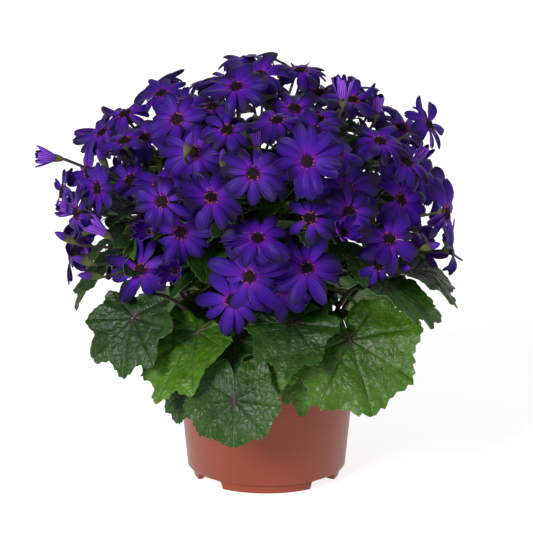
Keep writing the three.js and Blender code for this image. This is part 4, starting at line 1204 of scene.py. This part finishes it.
def pot_material():
    """Injection-moulded polypropylene in a terracotta colour: satin, faintly clouded, with a 1.4 mm grain."""
    material, node = start_material("moulded_polypropylene")
    place = node("TexCoord").outputs["Object"]
    cloud = node("TexNoise", place, Scale=14, Detail=4)
    grain = node("TexNoise", place, Scale=700, Detail=2)
    return finish_material(
        material, Base_Color=node("ValToRGB", cloud, stops=((0.3, "#7C341E"), (0.7, "#863C26"))),
        Roughness=node("Math:MULTIPLY_ADD", cloud, 0.12, 0.33), Specular_IOR_Level=0.32,
        Normal=node("Bump", Height=grain, Distance=0.02 * MM),
    )


def soil_material():
    """Damp peat potting soil: dark brown crumbs of 2.4 mm, paler where the same noise raises them."""
    material, node = start_material("damp_peat_soil")
    crumbs = node("TexNoise", node("TexCoord").outputs["Object"], Scale=420, Detail=5)
    return finish_material(
        material, Roughness=0.95, IOR=1.4, Normal=node("Bump", Height=crumbs, Distance=1.2 * MM),
        Base_Color=node("ValToRGB", crumbs, stops=((0.35, "#150D08"), (0.55, "#2E1E14"), (0.75, "#5A402A"))),
    )


def pot_outline(in_notch):
    """The pot's section, from the ring round the drainage holes below, out and over the rim, to that above.

    The numbers in it are the small roundings of its edges.
    """
    lip_bottom = POT_HEIGHT - RIM_LIP_HEIGHT
    inner_top = WALL_TOP_RADIUS - WALL_THICKNESS
    inner_foot = FOOT_RADIUS - FOOT_WIDTH
    floor_edge = FOOT_RADIUS - WALL_THICKNESS
    foot = [(inner_foot, BASE_UNDERSIDE), (inner_foot, 0), (FOOT_RADIUS, 0)]
    floor = [(floor_edge, FOOT_HEIGHT + WALL_THICKNESS), (floor_edge - 1, FLOOR_TOP)]
    if in_notch:
        notch_outer = FOOT_RADIUS + FOOT_FLARE * NOTCH_HEIGHT / FOOT_HEIGHT
        arch = NOTCH_INNER_RADIUS - ARCH_WALL
        foot = [(NOTCH_INNER_RADIUS, height) for height in (BASE_UNDERSIDE, NOTCH_HEIGHT)]
        foot += [(notch_outer, NOTCH_HEIGHT)]
        floor = [(arch, NOTCH_HEIGHT + 2), (arch, FLOOR_TOP)]
    return [
        (DRAIN_OUTER_RING, BASE_UNDERSIDE),
        *foot,
        (FOOT_RADIUS + FOOT_FLARE, FOOT_HEIGHT),
        (WALL_BOTTOM_RADIUS - 0.8, FOOT_HEIGHT + SHELF_RISE * 0.6),
        (WALL_BOTTOM_RADIUS, FOOT_HEIGHT + SHELF_RISE + 0.7),
        (WALL_TOP_RADIUS, lip_bottom),
        (RIM_RADIUS - 0.6, lip_bottom + SHELF_RISE * 0.5),
        (RIM_RADIUS, lip_bottom + 1.2),
        (RIM_RADIUS, POT_HEIGHT - 0.9),
        (RIM_RADIUS - 0.8, POT_HEIGHT),
        (inner_top + SHELF_RISE + 0.6, POT_HEIGHT),
        (inner_top + SHELF_RISE, POT_HEIGHT - 0.6),
        (inner_top, lip_bottom),
        (WALL_BOTTOM_RADIUS - WALL_THICKNESS, FOOT_HEIGHT + SHELF_RISE + WALL_THICKNESS),
        *floor,
        (DRAIN_OUTER_RING, FLOOR_TOP),
    ]


def pot_floor(shell):
    """The floor of the pot with its drainage holes, within the ring where the outline begins.

    In each sixth of the floor, points go round the border of the sector and, as many, round the hole, and
    faces join the two rings. A second copy higher up and the hole's wall close it.
    """
    half = POT_STEPS // DRAIN_COUNT // 2
    arc = np.arange(-half, half + 1) * math.radians(360 / POT_STEPS)
    across = np.linspace(DRAIN_INNER_RING, DRAIN_OUTER_RING, 7)[1:-1]
    border = [(DRAIN_OUTER_RING, turn) for turn in arc] + [(radius, arc[-1]) for radius in across[::-1]]
    border += [(DRAIN_INNER_RING, turn) for turn in arc[::-1]] + [(radius, arc[0]) for radius in across]
    outer = round_axis(*np.array(border).T, 0)[:, :2]
    middle = np.array([0, -DRAIN_RING])
    hole = middle + DRAIN_RADIUS * unit(outer - middle)
    rings = ((outer, BASE_UNDERSIDE), (hole, BASE_UNDERSIDE), (hole, FLOOR_TOP), (outer, FLOOR_TOP))
    for way in round_angles(DRAIN_COUNT):
        spin = np.array([[math.cos(way), math.sin(way)], [-math.sin(way), math.cos(way)]])
        points = [stacked(*(flat @ spin).T, height) for flat, height in rings]
        shell.add(np.stack(points), [grid_faces(len(rings), len(outer), around=True)])


def build_pot(material):
    """The pot: its section carried round in steps, with the section of a notch where a notch is.

    The middle of its floor is a plain disc, and the ring between the two holds the drainage holes.
    """
    turn = 360 * (np.arange(POT_STEPS) / POT_STEPS - 0.5 / DRAIN_COUNT)
    away = np.min([np.abs((turn - middle + 180) % 360 - 180) for middle in NOTCH_MIDDLES], axis=0)
    notched = (away < NOTCH_WIDTH / 2)[:, None, None]
    section = np.where(notched, np.array(pot_outline(True), float), np.array(pot_outline(False), float))
    points = round_axis(section[:, :, 0], np.radians(turn)[:, None], section[:, :, 1])
    count = section.shape[1]
    cells = grid_faces(POT_STEPS + 1, count) % (POT_STEPS * count)
    shell = Shell()
    shell.add(points, [cells[:, ::-1]])
    share = DRAIN_INNER_RING / DRAIN_OUTER_RING
    lower = points[:, 0] * [share, share, 1]
    upper = lower + [0, 0, FLOOR_TOP - BASE_UNDERSIDE]
    index = np.arange(POT_STEPS)[None]
    shell.add(np.concatenate([lower, upper]), [index[:, ::-1], index + POT_STEPS])
    pot_floor(shell)
    make_piece("pot_moulded", shell, material, ["pot"], sharp_angle=35, weld=True)


def build_soil(material):
    """The soil: a crumbly disc whose top is raised by soft noise, with loose crumbs and a plain underside."""
    rng = np.random.default_rng(5)
    way = round_angles(SOIL_STEPS)
    top = round_axis(np.array(SOIL_RINGS)[:, None], way, SOIL_TOP - 0.8)
    x, y = top[..., 0], top[..., 1]
    top[..., 2] += 0.9 * smooth_noise(x / 5, y / 5, 3) + 0.5 * smooth_noise(x / 2.1, y / 2.1, 4)
    top[-1, :, 2] = SOIL_TOP - 1.6
    radius, height = np.array(SOIL_SIDE).T[..., None]
    points = np.concatenate([top, round_axis(radius, way, height)])
    index = np.arange(SOIL_STEPS)[None]
    caps = [index, index[:, ::-1] + (len(points) - 1) * SOIL_STEPS]
    shell = Shell()
    shell.add(points, [grid_faces(len(points), SOIL_STEPS, around=True)[:, ::-1], *caps])
    for _ in range(CRUMB_COUNT):
        size = rng.uniform(*CRUMB_SIZES)
        out = math.sqrt(rng.random()) * (SOIL_EDGE_RADIUS - 5)
        turn = rng.uniform(0, 2 * math.pi)
        middle = round_axis(out, turn, SOIL_TOP + rng.uniform(-0.8, 0.9))
        path = middle + np.outer(np.array([-1, -0.5, 0.4, 1]) * size * 0.6, unit(rng.normal(size=3)))
        tube(shell, path, size * np.array([0.4, 0.95, 1.0, 0.45])[:, None] * rng.uniform(0.7, 1.1, (4, 6)))
    make_piece("soil_crumbs", shell, material, ["soil"])


def build_leaves(material):
    """Every leaf with its stalk. The far ones draw heading, pitch and roll in the model's order."""
    draw = make_draw(DRAW_SEED + 1)
    rows = []
    for name, at, way, size, bend, root, lightness in SEEN_LEAVES:
        rows.append((name, point_in_view(*at), way, size, bend, root, lightness, SEEN_LEAF_GRID))
    for index, (turn, distance, height, length) in enumerate(FAR_LEAVES):
        origin = direction(turn, 0) * distance + [0, 0, height]
        way = (turn + 16 * (draw() - 0.5), -30 - 20 * draw(), 10 * (draw() - 0.5))
        size, root = (length, *FAR_LEAF_SHARES), (turn, FAR_LEAF_ROOT)
        lightness = FAR_LEAF_GREENS[index % len(FAR_LEAF_GREENS)]
        name = f"leaf_far_{index + 1}"
        rows.append((name, origin, way, size, FAR_LEAF_BEND, root, lightness, FAR_LEAF_GRID))
    for index, (name, origin, way, size, bend, (turn, radius), lightness, grid) in enumerate(rows):
        shell = Shell()
        blade = Blade(origin, way, size, bend)
        root = direction(turn, 0) * radius + [0, 0, SOIL_TOP - STEM_DEPTH]
        lobed_blade(shell, blade, *grid, index, lightness, LOBING.get(name, USUAL_LOBING))
        leaf_stalk(shell, blade, root, lightness)
        make_piece(f"{name}_blade", shell, material, [name])


def grow_head(head, shells, draw, rng):
    """One head's petals, disc and calyx. It passes over the numbers that the model draws for its petals."""
    petals, discs, stalks = shells
    if head.openness <= BUD_OPENNESS:
        bud_petals(petals, head, rng)
        calyx(stalks, head, HALF_OPEN_CALYX_RADIUS, head.size * 0.42, rng)
        return
    lift = math.radians(10 * draw() - 4) if head.open else 0
    start = 2 * math.pi * draw()
    for _ in range((3 if head.open else 2) * head.petals):
        draw()
    if head.open:
        open_petals(petals, head, lift, start, rng)
        disc(discs, head, DISC_RADIUS, FLORET_COUNT, rng)
        calyx(stalks, head, DISC_RADIUS * 0.86, -0.3, rng)
    else:
        half_open_petals(petals, head, start, rng)
        disc(discs, head, HALF_OPEN_DISC_RADIUS, HALF_OPEN_FLORET_COUNT, rng)
        calyx(stalks, head, HALF_OPEN_CALYX_RADIUS, 0.6, rng)


def build_spray(number, stem, draw, materials):
    """One flowering stem with its heads, in pieces by finish: petals, discs, stems and small leaves."""
    node = f"spray_{number:02d}"
    petals, discs, stalks, leaves = Shell(), Shell(), Shell(), Shell()
    t = np.linspace(0, 1, len(stem.path))
    radii = ring_radii(STEM_RADIUS + (STEM_TIP_RADIUS - STEM_RADIUS) * t, 12, 6, 0.05)
    tube(stalks, stem.path, radii, stacked(0, t, 0), (0.5, 0, 0))
    for index, head in enumerate(stem.heads):
        seed = 1000 * number + index
        rng = np.random.default_rng(seed)
        share = 1 if index == 0 else BRANCH_TOP - BRANCH_SPAN * index / len(stem.heads)
        foot, along = stem.place(share)
        if index == 0:
            foot = foot - STEM_SINK * along
        path = stalk_of_head(stalks, head, foot, along, rng)
        bracts(leaves, path, BRACTS, rng)
        bracts(leaves, path, FILLING_BRACTS, np.random.default_rng(90000 + seed))
        grow_head(head, (petals, discs, stalks), draw, rng)
    if stem.leaf is not None:
        heading = stem.around + 8 * (draw() - 0.5)
        pitch, droop = stem.leaf
        size = (SMALL_LEAF_LENGTH, SMALL_LEAF_WIDTH, 1)
        blade = Blade(stem.place(SMALL_LEAF_PLACE)[0], (heading, pitch, 0), size, (droop, SMALL_LEAF_CUP))
        strap_blade(leaves, blade, 26, 17, number, 0.25)
    stem_leaves(leaves, stem, np.random.default_rng(500 + number))
    for bearer, at, way, (length, width), bend, lightness in INNER_LEAVES:
        if bearer == number:
            blade = Blade(point_in_view(*at), way, (length, width, 1), bend)
            strap_blade(leaves, blade, 30, 21, number + int(length), lightness, widest=0.45, teeth=0.1)
    make_piece(f"{node}_petals", petals, materials["petal"], [node])
    make_piece(f"{node}_stalks", stalks, materials["stem"], [node])
    if discs.count:
        make_piece(f"{node}_discs", discs, materials["disc"], [node])
    if leaves.count:
        make_piece(f"{node}_leaf", leaves, materials["leaf"], [node])


def build_stage():
    """A bright white floor, a dim white surround and the lamps."""
    mesh = bpy.data.meshes.new("floor")
    corners = [(x * FLOOR_HALF_SIZE, y * FLOOR_HALF_SIZE, 0) for x, y in ((-1, -1), (1, -1), (1, 1), (-1, 1))]
    mesh.from_pydata(corners, [], [(0, 1, 2, 3)])
    floor = add_object("floor", mesh)
    material, _ = start_material("white_paper_sweep")
    finish_material(
        material, Base_Color="#A0A0A0", Roughness=0.9, Emission_Color="#FFFFFF", Emission_Strength=FLOOR_GLOW,
    )
    mesh.materials.append(material)
    world = bpy.data.worlds.new("studio")
    world.use_nodes = True
    light = {"Color": "#FFFFFF", "Strength": SURROUND_STRENGTH}
    feed_named(world.node_tree, world.node_tree.nodes["Background"], light)
    bpy.context.scene.world = world
    for name, way, softness, strength in LAMPS:
        lamp = bpy.data.lights.new(name, "SUN")
        lamp.angle = math.radians(softness)
        lamp.energy = strength
        holder = add_object(name, lamp)
        holder.rotation_mode = "QUATERNION"
        holder.rotation_quaternion = Vector([-part for part in way]).to_track_quat("-Z", "Y")


def build_camera():
    """The picture's camera: its height, distance and field of view, with no shift."""
    camera = bpy.data.cameras.new("camera")
    camera.sensor_width = SENSOR_WIDTH
    camera.lens = SENSOR_WIDTH * VIEW_FOCAL_PIXELS / VIEW_PIXELS
    holder = add_object("camera", camera)
    holder.location = VIEW_PLACE * MM
    holder.rotation_euler = (math.pi / 2 - VIEW_PITCH, 0, 0)
    bpy.context.scene.camera = holder


build_camera()
build_stage()
leaf = leaf_material()
build_pot(pot_material())
build_soil(soil_material())
build_leaves(leaf)
spray_materials = {
    "petal": ray_petal_material(), "disc": disc_material(), "stem": stem_material(), "leaf": leaf,
}
spray_draw = make_draw(DRAW_SEED + 2)
for spray_number, spray_stem in enumerate(make_stems(), 1):
    build_spray(spray_number, spray_stem, spray_draw, spray_materials)

bpy.context.scene.view_settings.view_transform = "Standard"
